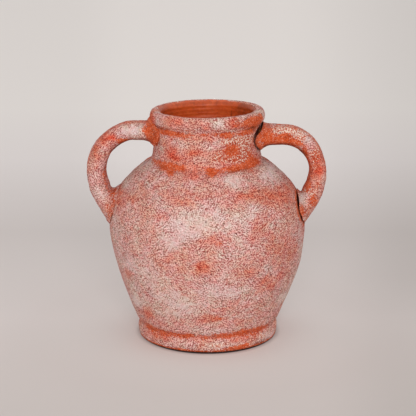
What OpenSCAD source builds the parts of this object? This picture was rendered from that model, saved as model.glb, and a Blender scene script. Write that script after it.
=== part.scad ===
// Two-handled terracotta jar, built as a potter builds it: a floor slab set in
// a rolled foot, a thrown belly, a collar neck, a rolled rim and two pulled
// handles, with luting slip and clay pads at the joints. Millimetres, +Z up,
// origin at the centre of the resting face, handles along the X axis.

/* [Foot and floor] */
// Height of the rolled foot, up to the seat of the belly wall
foot_h = 16; // [13:0.5:20]
// Largest radius of the rolled foot
foot_r = 73.5; // [73:0.5:78]
// Inside radius of the ledge that carries the floor slab
ledge_r = 56; // [50:0.5:58]
// Height of the ledge, so the slab stays clear of the table
ledge_h = 4; // [2:0.5:5]
// Radius of the floor slab and of the socket that holds it
floor_r = 62; // [60:0.5:64]
// Thickness of the floor slab
floor_t = 9; // [6:0.5:10]

/* [Belly] */
// Height of the thrown belly wall, from its seat to the neck
belly_h = 168; // [150:1:180]
// Largest outside radius of the belly
belly_r = 102; // [98:0.5:106]
// Thickness of the thrown wall
wall = 6.5; // [5:0.25:7.5]

/* [Neck and rim] */
// Height of the neck collar, from the shoulder to the rim's seat
neck_h = 43; // [38:1:50]
// Outside radius of the neck at its waist
neck_r = 55.5; // [54.5:0.25:56.5]
// Inside radius of the neck
mouth_r = 48.5; // [46:0.25:49]
// Depth of the neck's spigot inside the shoulder
spigot_h = 6; // [3:0.5:8]
// Outside radius of the spigot and of the shoulder's opening
spigot_r = 54; // [52:0.25:54.5]
// Height of the rolled rim above its seat
rim_h = 13; // [11:0.5:15]
// Outside radius of the rolled rim
rim_r = 59.5; // [59:0.25:62]
// Inside radius of the rim's lip, which stands a little inside the neck
lip_r = 47.5; // [46:0.25:49.5]

/* [Handles] */
// Reach of each handle from the axis to its outermost point
reach = 125; // [122:0.5:128]
// Half depth of the handle's round section, front to back
grip_d = 13.5; // [11:0.25:15]
// Extra depth that the handle gains towards its two ends
end_spread = 0.3; // [0:0.05:0.4]
// Joint thickness at the left handle, where the clay was smeared shut
left_gap = 0.8; // [0.5:0.1:1.2]
// Joint thickness at the right handle, where the joint has opened
right_gap = 1.6; // [0.8:0.1:2.2]
// Share of the left joints that their clay pads fill
left_fill = 0.94; // [0.5:0.01:0.96]
// Share of the right joints that their clay pads fill
right_fill = 0.6; // [0.4:0.01:0.8]

/* [Hidden] */
$fn = 128;

limewashed = "#D69A88";
bare_clay = "#C4633F";
raw_slip = "#A9552F";

neck_z = foot_h + belly_h;           // the shoulder's seat for the neck
rim_z = neck_z + neck_h;             // the neck's seat for the rim
top_z = rim_z + rim_h;               // the top of the rim

// Belly outline at its drawn size: [height above the seat, outside radius]
belly_outline = [[0, 73], [14, 79], [34, 87], [54, 94], [74, 99], [99, 102],
                 [119, 101], [134, 96], [146, 88], [156, 78.5], [164, 69.5],
                 [168, 64.5]];
// Neck outline at its drawn size: [height above the shoulder, added radius]
neck_outline = [[0, 5.5], [3, 3.2], [7, 1.2], [12, 0.2], [20, 0], [34, 0.2], [43, 0.4]];

// Smooth curve through [position, value] points
function span_of(p, z, i = 0) =
    (i >= len(p) - 2 || z < p[i + 1][0]) ? i : span_of(p, z, i + 1);
function steep(p, i) =
    let (a = max(i - 1, 0), b = min(i + 1, len(p) - 1))
    (p[b][1] - p[a][1]) / (p[b][0] - p[a][0]);
function along(p, z) =
    let (i = span_of(p, z), h = p[i + 1][0] - p[i][0], t = (z - p[i][0]) / h,
         m0 = steep(p, i) * h, m1 = steep(p, i + 1) * h)
    p[i][1] * (2 * t * t * t - 3 * t * t + 1) + m0 * (t * t * t - 2 * t * t + t)
    + p[i + 1][1] * (3 * t * t - 2 * t * t * t) + m1 * (t * t * t - t * t);

// Outside of the belly, neck and rim at a height z
belly_last = len(belly_outline) - 1;
function belly_out(z) =
    along(belly_outline, (z - foot_h) * belly_outline[belly_last][0] / belly_h) * belly_r / 102;
function belly_in(z) =
    let (g = (belly_out(min(z + 0.5, neck_z)) - belly_out(max(z - 0.5, foot_h)))
             / (min(z + 0.5, neck_z) - max(z - 0.5, foot_h)))
    belly_out(z) - wall * sqrt(1 + g * g);
function neck_out(z) = neck_r + along(neck_outline, (z - neck_z) * 43 / neck_h);

rim_a = 4.75;                             // width of the roll outside its crest
rim_mid = rim_r - rim_a;                  // crest of the rolled rim
rim_b = rim_h * 0.525;                    // half height of the roll
function rim_out(z) =
    let (t = (z - (top_z - rim_b)) / rim_b)
    rim_mid + rim_a * sqrt(max(0, 1 - t * t));

bead = 2.5;                                // height of the slip under the rim
function body_out(z) =
    z < neck_z ? belly_out(z)
    : z < rim_z - bead ? neck_out(z)
    : z < rim_z ? neck_out(z) + (rim_out(rim_z) - neck_out(z)) * (z - rim_z + bead) / bead
    : rim_out(z);

function steps(a, b, n) = [for (i = [0 : n]) a + (b - a) * i / n];

// ---- wheel-thrown pieces -------------------------------------------------

module floor_slab() {
    color(bare_clay)
    translate([0, 0, ledge_h]) cylinder(r = floor_r, h = floor_t);
}

// Rolled foot with a socket for the slab and the belly's spigot
foot_in = foot_r - 4;                       // where the roll meets the wall above
module foot_ring() {
    roll = [for (a = steps(-62, 62, 14))
            [foot_in - 1.5 + (foot_r - foot_in + 1.5) * cos(a), foot_h * (0.5 + sin(a) * 0.5 / sin(62))]];
    color(limewashed)
    rotate_extrude()
    polygon(concat([[floor_r, foot_h], [floor_r, ledge_h], [ledge_r, ledge_h], [ledge_r, 0]], roll));
}

module foot_joint_slip() {
    r = foot_in - 1.5 + (foot_r - foot_in + 1.5) * cos(62);
    color(raw_slip)
    rotate_extrude()
    polygon([[r, foot_h], [r + 1.1, foot_h - 0.9], [r + 1.35, foot_h], [r + 1.1, foot_h + 1.2]]);
}

// Belly wall: its foot is turned in at the seat, with a spigot inside the foot
belly_n = 44;
module belly_wall() {
    seat = foot_in - 1.5 + (foot_r - foot_in + 1.5) * cos(62);
    outside = [for (z = steps(foot_h + 4, neck_z, belly_n)) [belly_out(z), z]];
    inside = [for (z = steps(neck_z, foot_h + 8, belly_n)) [belly_in(z), z]];
    color(limewashed)
    difference() {
        rotate_extrude()
        polygon(concat([[seat, foot_h], [seat + 1.1, foot_h + 1.2], [belly_out(foot_h + 2.6) - 0.4, foot_h + 2.6]],
                       outside, inside,
                       [[floor_r - 4, foot_h + 1], [floor_r - 6, ledge_h + floor_t],
                        [floor_r, ledge_h + floor_t], [floor_r, foot_h]]));
        translate([0, 0, neck_z - 20]) cylinder(r = spigot_r, h = 40);
    }
}

// Neck collar: flared foot on the shoulder, spigot inside it, tongue for the rim
tongue_in = mouth_r + 2;
tongue_out = neck_r - 1.5;
tongue_h = 4;
module neck_collar() {
    outside = [for (z = steps(neck_z, rim_z, 22)) [neck_out(z), z]];
    color(limewashed)
    rotate_extrude()
    polygon(concat([[mouth_r, neck_z - spigot_h], [spigot_r, neck_z - spigot_h], [spigot_r, neck_z]],
                   outside,
                   [[tongue_out, rim_z], [tongue_out, rim_z + tongue_h],
                    [tongue_in, rim_z + tongue_h], [tongue_in, rim_z], [mouth_r, rim_z]]));
}

module neck_joint_slip() {
    fillet = [for (a = steps(0, 90, 6))
              [neck_out(neck_z) + 3 * (1 - sin(a)), neck_z + 3 * (1 - cos(a))]];
    wide = [for (q = fillet) [max(q[0], neck_out(q[1])), q[1]]];
    edge = [for (z = steps(neck_z + 3, neck_z, 6)) [neck_out(z), z]];
    color(raw_slip)
    rotate_extrude()
    polygon(concat([for (i = [0 : 5]) wide[i]], edge));
}

// Rolled rim, with a groove that saddles the neck's tongue
module rim_roll() {
    low = asin((rim_z - (top_z - rim_b)) / rim_b);
    roll = [for (a = steps(low, 180, 26))
            [rim_mid + (a < 90 ? rim_a : rim_mid - lip_r) * cos(a), top_z - rim_b + rim_b * sin(a)]];
    color(limewashed)
    rotate_extrude()
    polygon(concat([[tongue_in, rim_z], [tongue_in, rim_z + tongue_h],
                    [tongue_out, rim_z + tongue_h], [tongue_out, rim_z]],
                   roll, [[mouth_r, rim_z]]));
}

module rim_joint_slip() {
    edge = [for (z = steps(rim_z, rim_z - bead, 4)) [neck_out(z), z]];
    color(raw_slip)
    rotate_extrude()
    polygon(concat([[rim_out(rim_z), rim_z]], edge));
}

// ---- pulled handles ------------------------------------------------------

// Each handle: route of [x, z, half thickness], then the upper and the lower
// end on the wall as [height of its middle, half height, half depth]
left_route = [[70, 217.5, 10.8], [81, 217, 10.6], [93, 212, 10.6], [103, 204.5, 10.5],
              [110, 194.5, 10.4], [113.7, 182.5, 10.4], [114, 170, 10.6], [111.5, 158.5, 11.1]];
left_upper = [216.5, 14.5, 24];
left_lower = [139, 19, 26];
right_route = [[71, 213, 11.8], [82, 212.4, 11.1], [92.4, 209.4, 10.7], [101.6, 203.6, 10.3],
               [108.5, 194.9, 9.8], [113, 184.5, 9.5], [114.9, 174, 9.9], [113.2, 162.5, 10.7],
               [109.5, 152.5, 11.3]];
right_upper = [212, 14.5, 26];
right_lower = [138, 17, 27.5];

sides = 28;
turns = [for (i = [0 : sides - 1]) i * 360 / sides];

// Smooth curve through the route, at u from 0 to its last point
function route_at(p, u) =
    let (i = min(floor(u), len(p) - 2), t = u - i,
         p0 = p[max(i - 1, 0)], p1 = p[i], p2 = p[i + 1], p3 = p[min(i + 2, len(p) - 1)])
    0.5 * (2 * p1 + (p2 - p0) * t + (2 * p0 - 5 * p1 + 4 * p2 - p3) * t * t
           + (3 * p1 - p0 - 3 * p2 + p3) * t * t * t);
function heading(p, u) =
    let (a = route_at(p, max(u - 0.05, 0)), b = route_at(p, min(u + 0.05, len(p) - 1)),
         d = [b[0] - a[0], b[1] - a[1]])
    d / norm(d);
function depth_at(p, u) = grip_d * (1 + end_spread * pow(abs(2 * u / (len(p) - 1) - 1), 4));
function tube_ring(p, u) =
    let (c = route_at(p, u), d = heading(p, u), w = depth_at(p, u))
    [for (a = turns) [c[0] - d[1] * c[2] * cos(a), w * sin(a), c[1] + d[0] * c[2] * cos(a)]];

// A ring on the wall: share k of the joint's outline, lifted off by a gap
function on_wall(e, k, side, gap) =
    [for (a = turns)
     let (y = e[2] * k * sin(a), z = e[0] + side * e[1] * k * cos(a), r = body_out(z))
     [sqrt(r * r - y * y) + gap, y, z]];
function bezier(a, b, c, d, u) =
    a * (1 - u) * (1 - u) * (1 - u) + 3 * b * u * (1 - u) * (1 - u)
    + 3 * c * u * u * (1 - u) + d * u * u * u;
// Flare from a ring of the tube to the wall
function flare(tube, aim, e, side, gap, u) =
    let (foot = on_wall(e, 1, side, gap), lean = on_wall(e, 0.82, side, gap + 3.5))
    [for (i = [0 : sides - 1])
     bezier(tube[i], tube[i] + aim * 7, lean[i], foot[i], u)];

// Skin over a list of rings, closed by a point at each end
function skin_faces(n) =
    concat(
        [for (i = [0 : sides - 1]) [0, 1 + (i + 1) % sides, 1 + i]],
        [for (j = [0 : n - 2], i = [0 : sides - 1])
         let (a = 1 + j * sides + i, b = 1 + j * sides + (i + 1) % sides)
         [a, b, b + sides]],
        [for (j = [0 : n - 2], i = [0 : sides - 1])
         let (a = 1 + j * sides + i, b = 1 + j * sides + (i + 1) % sides)
         [a, b + sides, a + sides]],
        [for (i = [0 : sides - 1])
         [1 + n * sides, 1 + (n - 1) * sides + i, 1 + (n - 1) * sides + (i + 1) % sides]]);
module skin(first, rings, last) {
    points = concat([first], [for (r = rings) each r], [last]);
    polyhedron(points = points, faces = skin_faces(len(rings)), convexity = 6);
}

shares = [0.25, 0.5, 0.75, 1];
module handle(drawn, up, lo, gap) {
    far = max([for (u = steps(0, len(drawn) - 1, 60))
               let (c = route_at(drawn, u)) c[0] + c[2] * abs(heading(drawn, u)[1])]);
    route = [for (p = drawn) [p[0] + reach - far, p[1], p[2]]];
    end = len(route) - 1;
    first_ring = tube_ring(route, 0);
    last_ring = tube_ring(route, end);
    d0 = heading(route, 0);
    d1 = heading(route, end);
    rings = concat(
        [for (k = shares) on_wall(up, k, 1, gap)],
        [for (u = [0.86, 0.7, 0.54, 0.36, 0.18]) flare(first_ring, [-d0[0], 0, -d0[1]], up, 1, gap, u)],
        [for (u = steps(0, end, 26)) tube_ring(route, u)],
        [for (u = [0.18, 0.36, 0.54, 0.7, 0.86]) flare(last_ring, [d1[0], 0, d1[1]], lo, -1, gap, u)],
        [for (i = [3 : -1 : 0]) on_wall(lo, shares[i], -1, gap)]);
    skin([body_out(up[0]) + gap, 0, up[0]], rings, [body_out(lo[0]) + gap, 0, lo[0]]);
}

// Clay pad between a handle's end and the wall
module joint_clay(e, side, gap, fill) {
    near = 0.06;
    rings = concat(
        [for (k = shares) on_wall(e, k * fill, side, near)],
        [for (i = [3 : -1 : 0]) on_wall(e, shares[i] * fill, side, gap - near)]);
    if (side > 0)
        skin([body_out(e[0]) + near, 0, e[0]], rings, [body_out(e[0]) + gap - near, 0, e[0]]);
    else
        mirror([0, 1, 0])
        skin([body_out(e[0]) + near, 0, e[0]], rings, [body_out(e[0]) + gap - near, 0, e[0]]);
}

module left_handle() { color(limewashed) mirror([1, 0, 0]) handle(left_route, left_upper, left_lower, left_gap); }
module left_upper_joint_clay() { color(raw_slip) mirror([1, 0, 0]) joint_clay(left_upper, 1, left_gap, left_fill); }
module left_lower_joint_clay() { color(raw_slip) mirror([1, 0, 0]) joint_clay(left_lower, -1, left_gap, left_fill); }
module right_handle() { color(limewashed) handle(right_route, right_upper, right_lower, right_gap); }
module right_upper_joint_clay() { color(raw_slip) joint_clay(right_upper, 1, right_gap, right_fill); }
module right_lower_joint_clay() { color(raw_slip) joint_clay(right_lower, -1, right_gap, right_fill); }

floor_slab();
foot_ring();
foot_joint_slip();
belly_wall();
neck_collar();
neck_joint_slip();
rim_roll();
rim_joint_slip();
left_handle();
left_upper_joint_clay();
left_lower_joint_clay();
right_handle();
right_upper_joint_clay();
right_lower_joint_clay();
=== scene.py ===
"""Looks of the limewashed terracotta jar: hand-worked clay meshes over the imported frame, procedural clay and
limewash materials, a pale floor, soft light and the camera. Lengths in the helpers are millimetres, and metres in Blender."""

import math

import bpy
import numpy as np
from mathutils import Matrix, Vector


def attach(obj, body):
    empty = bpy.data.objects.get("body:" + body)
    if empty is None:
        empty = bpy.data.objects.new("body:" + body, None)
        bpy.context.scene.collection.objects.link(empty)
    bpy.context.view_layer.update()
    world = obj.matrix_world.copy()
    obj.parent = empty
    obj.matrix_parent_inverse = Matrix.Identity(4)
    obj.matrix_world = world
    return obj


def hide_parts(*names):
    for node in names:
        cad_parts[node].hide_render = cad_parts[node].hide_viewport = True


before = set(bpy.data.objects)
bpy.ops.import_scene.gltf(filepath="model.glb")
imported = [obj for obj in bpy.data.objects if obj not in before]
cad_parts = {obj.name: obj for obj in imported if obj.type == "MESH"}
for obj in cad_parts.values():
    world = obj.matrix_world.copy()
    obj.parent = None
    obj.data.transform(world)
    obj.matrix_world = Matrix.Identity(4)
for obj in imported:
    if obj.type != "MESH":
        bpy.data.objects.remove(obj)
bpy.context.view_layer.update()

# ---------------------------------------------------------------- noise


def chance(i, j, k, seed):
    """A repeatable number from 0 to 1 for each whole-number cell."""
    h = (
        i.astype(np.uint64) * np.uint64(0x9E3779B97F4A7C15)
        ^ j.astype(np.uint64) * np.uint64(0xC2B2AE3D27D4EB4F)
        ^ k.astype(np.uint64) * np.uint64(0x165667B19E3779F9)
        ^ np.uint64((seed * 7919 + 12345) * 2654435761 % (1 << 63))
    )
    h ^= h >> np.uint64(31)
    h *= np.uint64(0xBF58476D1CE4E5B9)
    h ^= h >> np.uint64(29)
    h *= np.uint64(0x94D049BB133111EB)
    h ^= h >> np.uint64(32)
    return (h >> np.uint64(11)).astype(np.float64) / float(1 << 53)


def noise(p, seed=0):
    """Smooth gradient noise, about -1 to 1, at points p (..., 3)."""
    p = np.asarray(p, float)
    cell = np.floor(p).astype(np.int64)
    f = p - cell
    w = f * f * f * (f * (f * 6 - 15) + 10)
    out = np.zeros(p.shape[:-1])
    for a in (0, 1):
        for b in (0, 1):
            for c in (0, 1):
                i, j, k = cell[..., 0] + a, cell[..., 1] + b, cell[..., 2] + c
                g = [chance(i, j, k, seed * 3 + n) * 2 - 1 for n in range(3)]
                dot = g[0] * (f[..., 0] - a) + g[1] * (f[..., 1] - b) + g[2] * (f[..., 2] - c)
                wx = w[..., 0] if a else 1 - w[..., 0]
                wy = w[..., 1] if b else 1 - w[..., 1]
                wz = w[..., 2] if c else 1 - w[..., 2]
                out += wx * wy * wz * dot
    return out * 1.6


def layers(p, seed=0, octaves=3, fade=0.5):
    """Noise summed over octaves, about -1 to 1."""
    p = np.asarray(p, float)
    total, size, whole = 0.0, 1.0, 0.0
    for n in range(octaves):
        total = total + size * noise(p * 2.03**n + 17.3 * n, seed + n)
        whole += size
        size *= fade
    return total / whole


def specks(p, cell, share, small, large, seed=0):
    """1 at the middle of scattered round specks and 0 outside them; radii from small to large."""
    p = np.asarray(p, float)
    base = np.floor(p / cell).astype(np.int64)
    best = np.zeros(p.shape[:-1])
    for a in (-1, 0, 1):
        for b in (-1, 0, 1):
            for c in (-1, 0, 1):
                i, j, k = base[..., 0] + a, base[..., 1] + b, base[..., 2] + c
                keep = chance(i, j, k, seed + 4) < share
                d2 = 0.0
                for n, whole in enumerate((i, j, k)):
                    d2 = d2 + (p[..., n] - cell * (whole + chance(i, j, k, seed + n))) ** 2
                radius = small + (large - small) * chance(i, j, k, seed + 5)
                best = np.maximum(best, np.where(keep, 1 - np.sqrt(d2) / radius, 0))
    return np.clip(best, 0, 1)


def ease(a, b, x):
    t = np.clip((np.asarray(x, float) - a) / (b - a), 0, 1)
    return t * t * (3 - 2 * t)


# ---------------------------------------------------------------- the pot's outlines

FOOT_H, FOOT_R, LEDGE_R, LEDGE_H, FLOOR_R, FLOOR_T = 16.0, 73.5, 56.0, 4.0, 62.0, 9.0
BELLY_H, WALL = 168.0, 6.5
NECK_H, NECK_R, MOUTH_R, SPIGOT_H, SPIGOT_R = 43.0, 55.5, 48.5, 6.0, 54.0
RIM_H, RIM_R, LIP_R, REACH, GRIP_D, END_SPREAD = 13.0, 59.5, 47.5, 125.0, 13.5, 0.3
NECK_Z = FOOT_H + BELLY_H
RIM_Z = NECK_Z + NECK_H
TOP_Z = RIM_Z + RIM_H
FOOT_IN = FOOT_R - 4
SEAT_R = FOOT_IN - 1.5 + (FOOT_R - FOOT_IN + 1.5) * math.cos(math.radians(62))
TONGUE_IN, TONGUE_OUT, TONGUE_H = MOUTH_R + 2, NECK_R - 1.5, 4.0
RIM_MID, RIM_A, RIM_B = RIM_R - 4.75, 4.75, RIM_H * 0.525

BELLY_OUTLINE = [(0, 73), (14, 79), (34, 87), (54, 94), (74, 99), (99, 102), (119, 101), (134, 96), (146, 88), (156, 78.5), (164, 69.5), (168, 64.5)]
NECK_OUTLINE = [(0, 5.5), (3, 3.2), (7, 1.2), (12, 0.2), (20, 0), (34, 0.2), (43, 0.4)]


def along(points, z):
    """Smooth curve through (position, value) points."""
    p = np.array(points, float)
    x, y, n = p[:, 0], p[:, 1], len(points)
    m = np.array([(y[min(i + 1, n - 1)] - y[max(i - 1, 0)]) / (x[min(i + 1, n - 1)] - x[max(i - 1, 0)]) for i in range(n)])
    z = np.clip(np.asarray(z, float), x[0], x[-1])
    i = np.clip(np.searchsorted(x, z, side="right") - 1, 0, n - 2)
    h = x[i + 1] - x[i]
    t = (z - x[i]) / h
    return y[i] * (2 * t**3 - 3 * t**2 + 1) + m[i] * h * (t**3 - 2 * t**2 + t) + y[i + 1] * (3 * t**2 - 2 * t**3) + m[i + 1] * h * (t**3 - t**2)


def belly_out(z):
    return along(BELLY_OUTLINE, np.asarray(z, float) - FOOT_H)


def belly_in(z):
    hi, lo = np.minimum(np.asarray(z, float) + 0.5, NECK_Z), np.maximum(np.asarray(z, float) - 0.5, FOOT_H)
    g = (belly_out(hi) - belly_out(lo)) / (hi - lo)
    return belly_out(z) - WALL * np.sqrt(1 + g * g)


def neck_out(z):
    return NECK_R + along(NECK_OUTLINE, np.asarray(z, float) - NECK_Z)


def rim_out(z):
    t = (np.asarray(z, float) - (TOP_Z - RIM_B)) / RIM_B
    return RIM_MID + RIM_A * np.sqrt(np.maximum(0, 1 - t * t))


BEAD = 2.5


def body_out(z):
    z = np.asarray(z, float)
    low = neck_out(z) + (rim_out(RIM_Z) - neck_out(z)) * (z - RIM_Z + BEAD) / BEAD
    return np.where(z < NECK_Z, belly_out(z), np.where(z < RIM_Z - BEAD, neck_out(z), np.where(z < RIM_Z, low, rim_out(z))))


def lean(X):
    """The thrower's hand: the belly leans a little to one side low down, and the rim is a little out of level."""
    out = X.copy()
    x, z = X[..., 0], X[..., 2]
    out[..., 0] = x + 1.7 * np.exp(-(((z - 70) / 32) ** 2)) + 0.5 * ease(190, 232, z) + 0.8 * ease(40, 12, z)
    out[..., 2] = z + x * 0.011 * ease(192, 230, z)
    return out


# ---------------------------------------------------------------- meshes


def grid_normals(P, wrap_rows):
    across = np.roll(P, -1, 1) - np.roll(P, 1, 1)
    down = np.roll(P, -1, 0) - np.roll(P, 1, 0) if wrap_rows else np.gradient(P, axis=0)
    n = np.cross(across, down)
    return n / np.maximum(np.linalg.norm(n, axis=-1, keepdims=True), 1e-9)


def grid_object(name, P, marks, wrap_rows=True, strips=2, row_weight=None):
    """A closed mesh from rows of rings P (rows, around, 3), joined into a loop or capped by a point at each end.
    marks are numbers per vertex that the materials read. The map is cut into strips so that it fills a square."""
    rows, cols = P.shape[:2]
    co = P.reshape(-1, 3)
    extra = [] if wrap_rows else [P[0].mean(0), P[-1].mean(0)]
    co = np.concatenate([co, np.array(extra).reshape(-1, 3)])
    spans = rows if wrap_rows else rows - 1
    j, i = np.meshgrid(np.arange(spans), np.arange(cols), indexing="ij")
    j2, i2 = (j + 1) % rows, (i + 1) % cols
    quads = np.stack([j * cols + i, j * cols + i2, j2 * cols + i2, j2 * cols + i], -1).reshape(-1, 4)
    # place on the map
    step = np.linalg.norm(np.diff(np.concatenate([P, P[:1]]), axis=0), axis=-1).mean(1)[:spans]
    if row_weight is not None:
        step = step * np.asarray(row_weight)[:spans]
    run = np.concatenate([[0], np.cumsum(step)])
    pad = 0.006
    if wrap_rows:  # strips round the pot, one above the other
        per = -(-cols // strips)
        s = i // per
        u0, u1 = (i - s * per) / per, (i - s * per + 1) / per
        v0, v1 = run[j] / run[-1], run[j + 1] / run[-1]
        U = [pad + (1 - 2 * pad) * u for u in (u0, u1, u1, u0)]
        V = [(s + pad * strips + (1 - 2 * pad * strips) * v) / strips for v in (v0, v0, v1, v1)]
    else:  # strips along the tube, side by side, with the two caps above them
        share = run / run[-1] * strips
        s = np.minimum(np.floor((share[:-1] + share[1:]) / 2), strips - 1)[j]
        first = np.array([share[:-1][s[:, 0] == k].min() for k in range(strips)])
        length = np.array([share[1:][s[:, 0] == k].max() for k in range(strips)]) - first
        k = s.astype(int)
        v0, v1 = (share[j] - first[k]) / length[k], (share[j + 1] - first[k]) / length[k]
        u0, u1 = i / cols, (i + 1) / cols
        U = [(s + pad * strips + (1 - 2 * pad * strips) * u) / strips for u in (u0, u1, u1, u0)]
        V = [pad + (0.95 - 2 * pad) * v for v in (v0, v0, v1, v1)]
    uv = np.stack([np.stack(U, -1), np.stack(V, -1)], -1).reshape(-1, 4, 2)
    corners, sizes, uvs = [quads.reshape(-1)], [np.full(len(quads), 4)], [uv.reshape(-1, 2)]
    if not wrap_rows:
        a = np.arange(cols)
        b = (a + 1) % cols
        top, end = rows * cols, rows * cols + 1
        fan = np.concatenate([np.stack([np.full(cols, top), b, a], -1), np.stack([np.full(cols, end), (rows - 1) * cols + a, (rows - 1) * cols + b], -1)])
        corners.append(fan.reshape(-1))
        sizes.append(np.full(len(fan), 3))
        turn = np.stack([np.cos(a * 2 * math.pi / cols), np.sin(a * 2 * math.pi / cols)], -1) * 0.02
        after = np.roll(turn, -1, 0)
        for middle, one, two in (((0.03, 0.975), after, turn), ((0.09, 0.975), turn, after)):
            uvs.append(np.stack([np.tile(middle, (cols, 1)), one + middle, two + middle], 1).reshape(-1, 2))
    corners, sizes, uvs = np.concatenate(corners), np.concatenate(sizes), np.concatenate(uvs)
    a, b, c = co[quads[:, 0]], co[quads[:, 1]], co[quads[:, 2]]
    d = co[quads[:, 3]]
    volume = np.einsum("ij,ij->i", a, np.cross(b, c)).sum() + np.einsum("ij,ij->i", a, np.cross(c, d)).sum()
    starts = np.concatenate([[0], np.cumsum(sizes)[:-1]])
    if volume < 0:
        order = np.concatenate([np.arange(s0 + n - 1, s0 - 1, -1) for s0, n in zip(starts, sizes)])
        corners, uvs = corners[order], uvs[order]
    me = bpy.data.meshes.new(name)
    me.vertices.add(len(co))
    me.vertices.foreach_set("co", (co * 0.001).astype(np.float32).ravel())
    me.loops.add(len(corners))
    me.loops.foreach_set("vertex_index", corners.astype(np.int32))
    me.polygons.add(len(sizes))
    me.polygons.foreach_set("loop_start", starts.astype(np.int32))
    me.polygons.foreach_set("loop_total", sizes.astype(np.int32))
    me.update(calc_edges=True)
    me.uv_layers.new(name="OFBake").data.foreach_set("uv", uvs.astype(np.float32).ravel())
    for key, value in marks.items():
        flat = np.concatenate([np.asarray(value, float).reshape(-1), np.full(len(extra), float(np.mean(value)))])
        me.attributes.new(key, "FLOAT", "POINT").data.foreach_set("value", flat.astype(np.float32))
    me.polygons.foreach_set("use_smooth", np.ones(len(sizes), bool))
    me.validate()
    ob = bpy.data.objects.new(name, me)
    bpy.context.scene.collection.objects.link(ob)
    return ob


def ring_grid(section, cols):
    """Base points of a turned piece from its closed section [(r, z), ...]: (rows, cols, 3)."""
    s = np.array(section, float)
    t = np.arange(cols) * 2 * math.pi / cols - math.pi / 2
    return np.stack([s[:, :1] * np.cos(t), s[:, :1] * np.sin(t), np.repeat(s[:, 1:], cols, 1)], -1)


def outward(section, cols):
    s = np.array(section, float)
    d = np.roll(s, -1, 0) - np.roll(s, 1, 0)
    n = np.stack([d[:, 1], -d[:, 0]], -1)
    n /= np.maximum(np.linalg.norm(n, axis=1, keepdims=True), 1e-9)
    t = np.arange(cols) * 2 * math.pi / cols - math.pi / 2
    return np.stack([n[:, :1] * np.cos(t), n[:, :1] * np.sin(t), np.repeat(n[:, 1:], cols, 1)], -1)


def line(a, b, n):
    """n points from a towards b, without b."""
    return [(a[0] + (b[0] - a[0]) * k / n, a[1] + (b[1] - a[1]) * k / n) for k in range(n)]


def hand(X, seed, lump=0.55, mid=0.28, grain=0.15):
    """Relief of hand-worked, sandy clay."""
    return lump * layers(X / 34, seed, 2) + mid * layers(X / 11, seed + 5, 2) + grain * (noise(X / 3.1, seed + 9) + 0.5 * noise(X / 1.9, seed + 10))


# ---------------------------------------------------------------- where the wash lies

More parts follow.
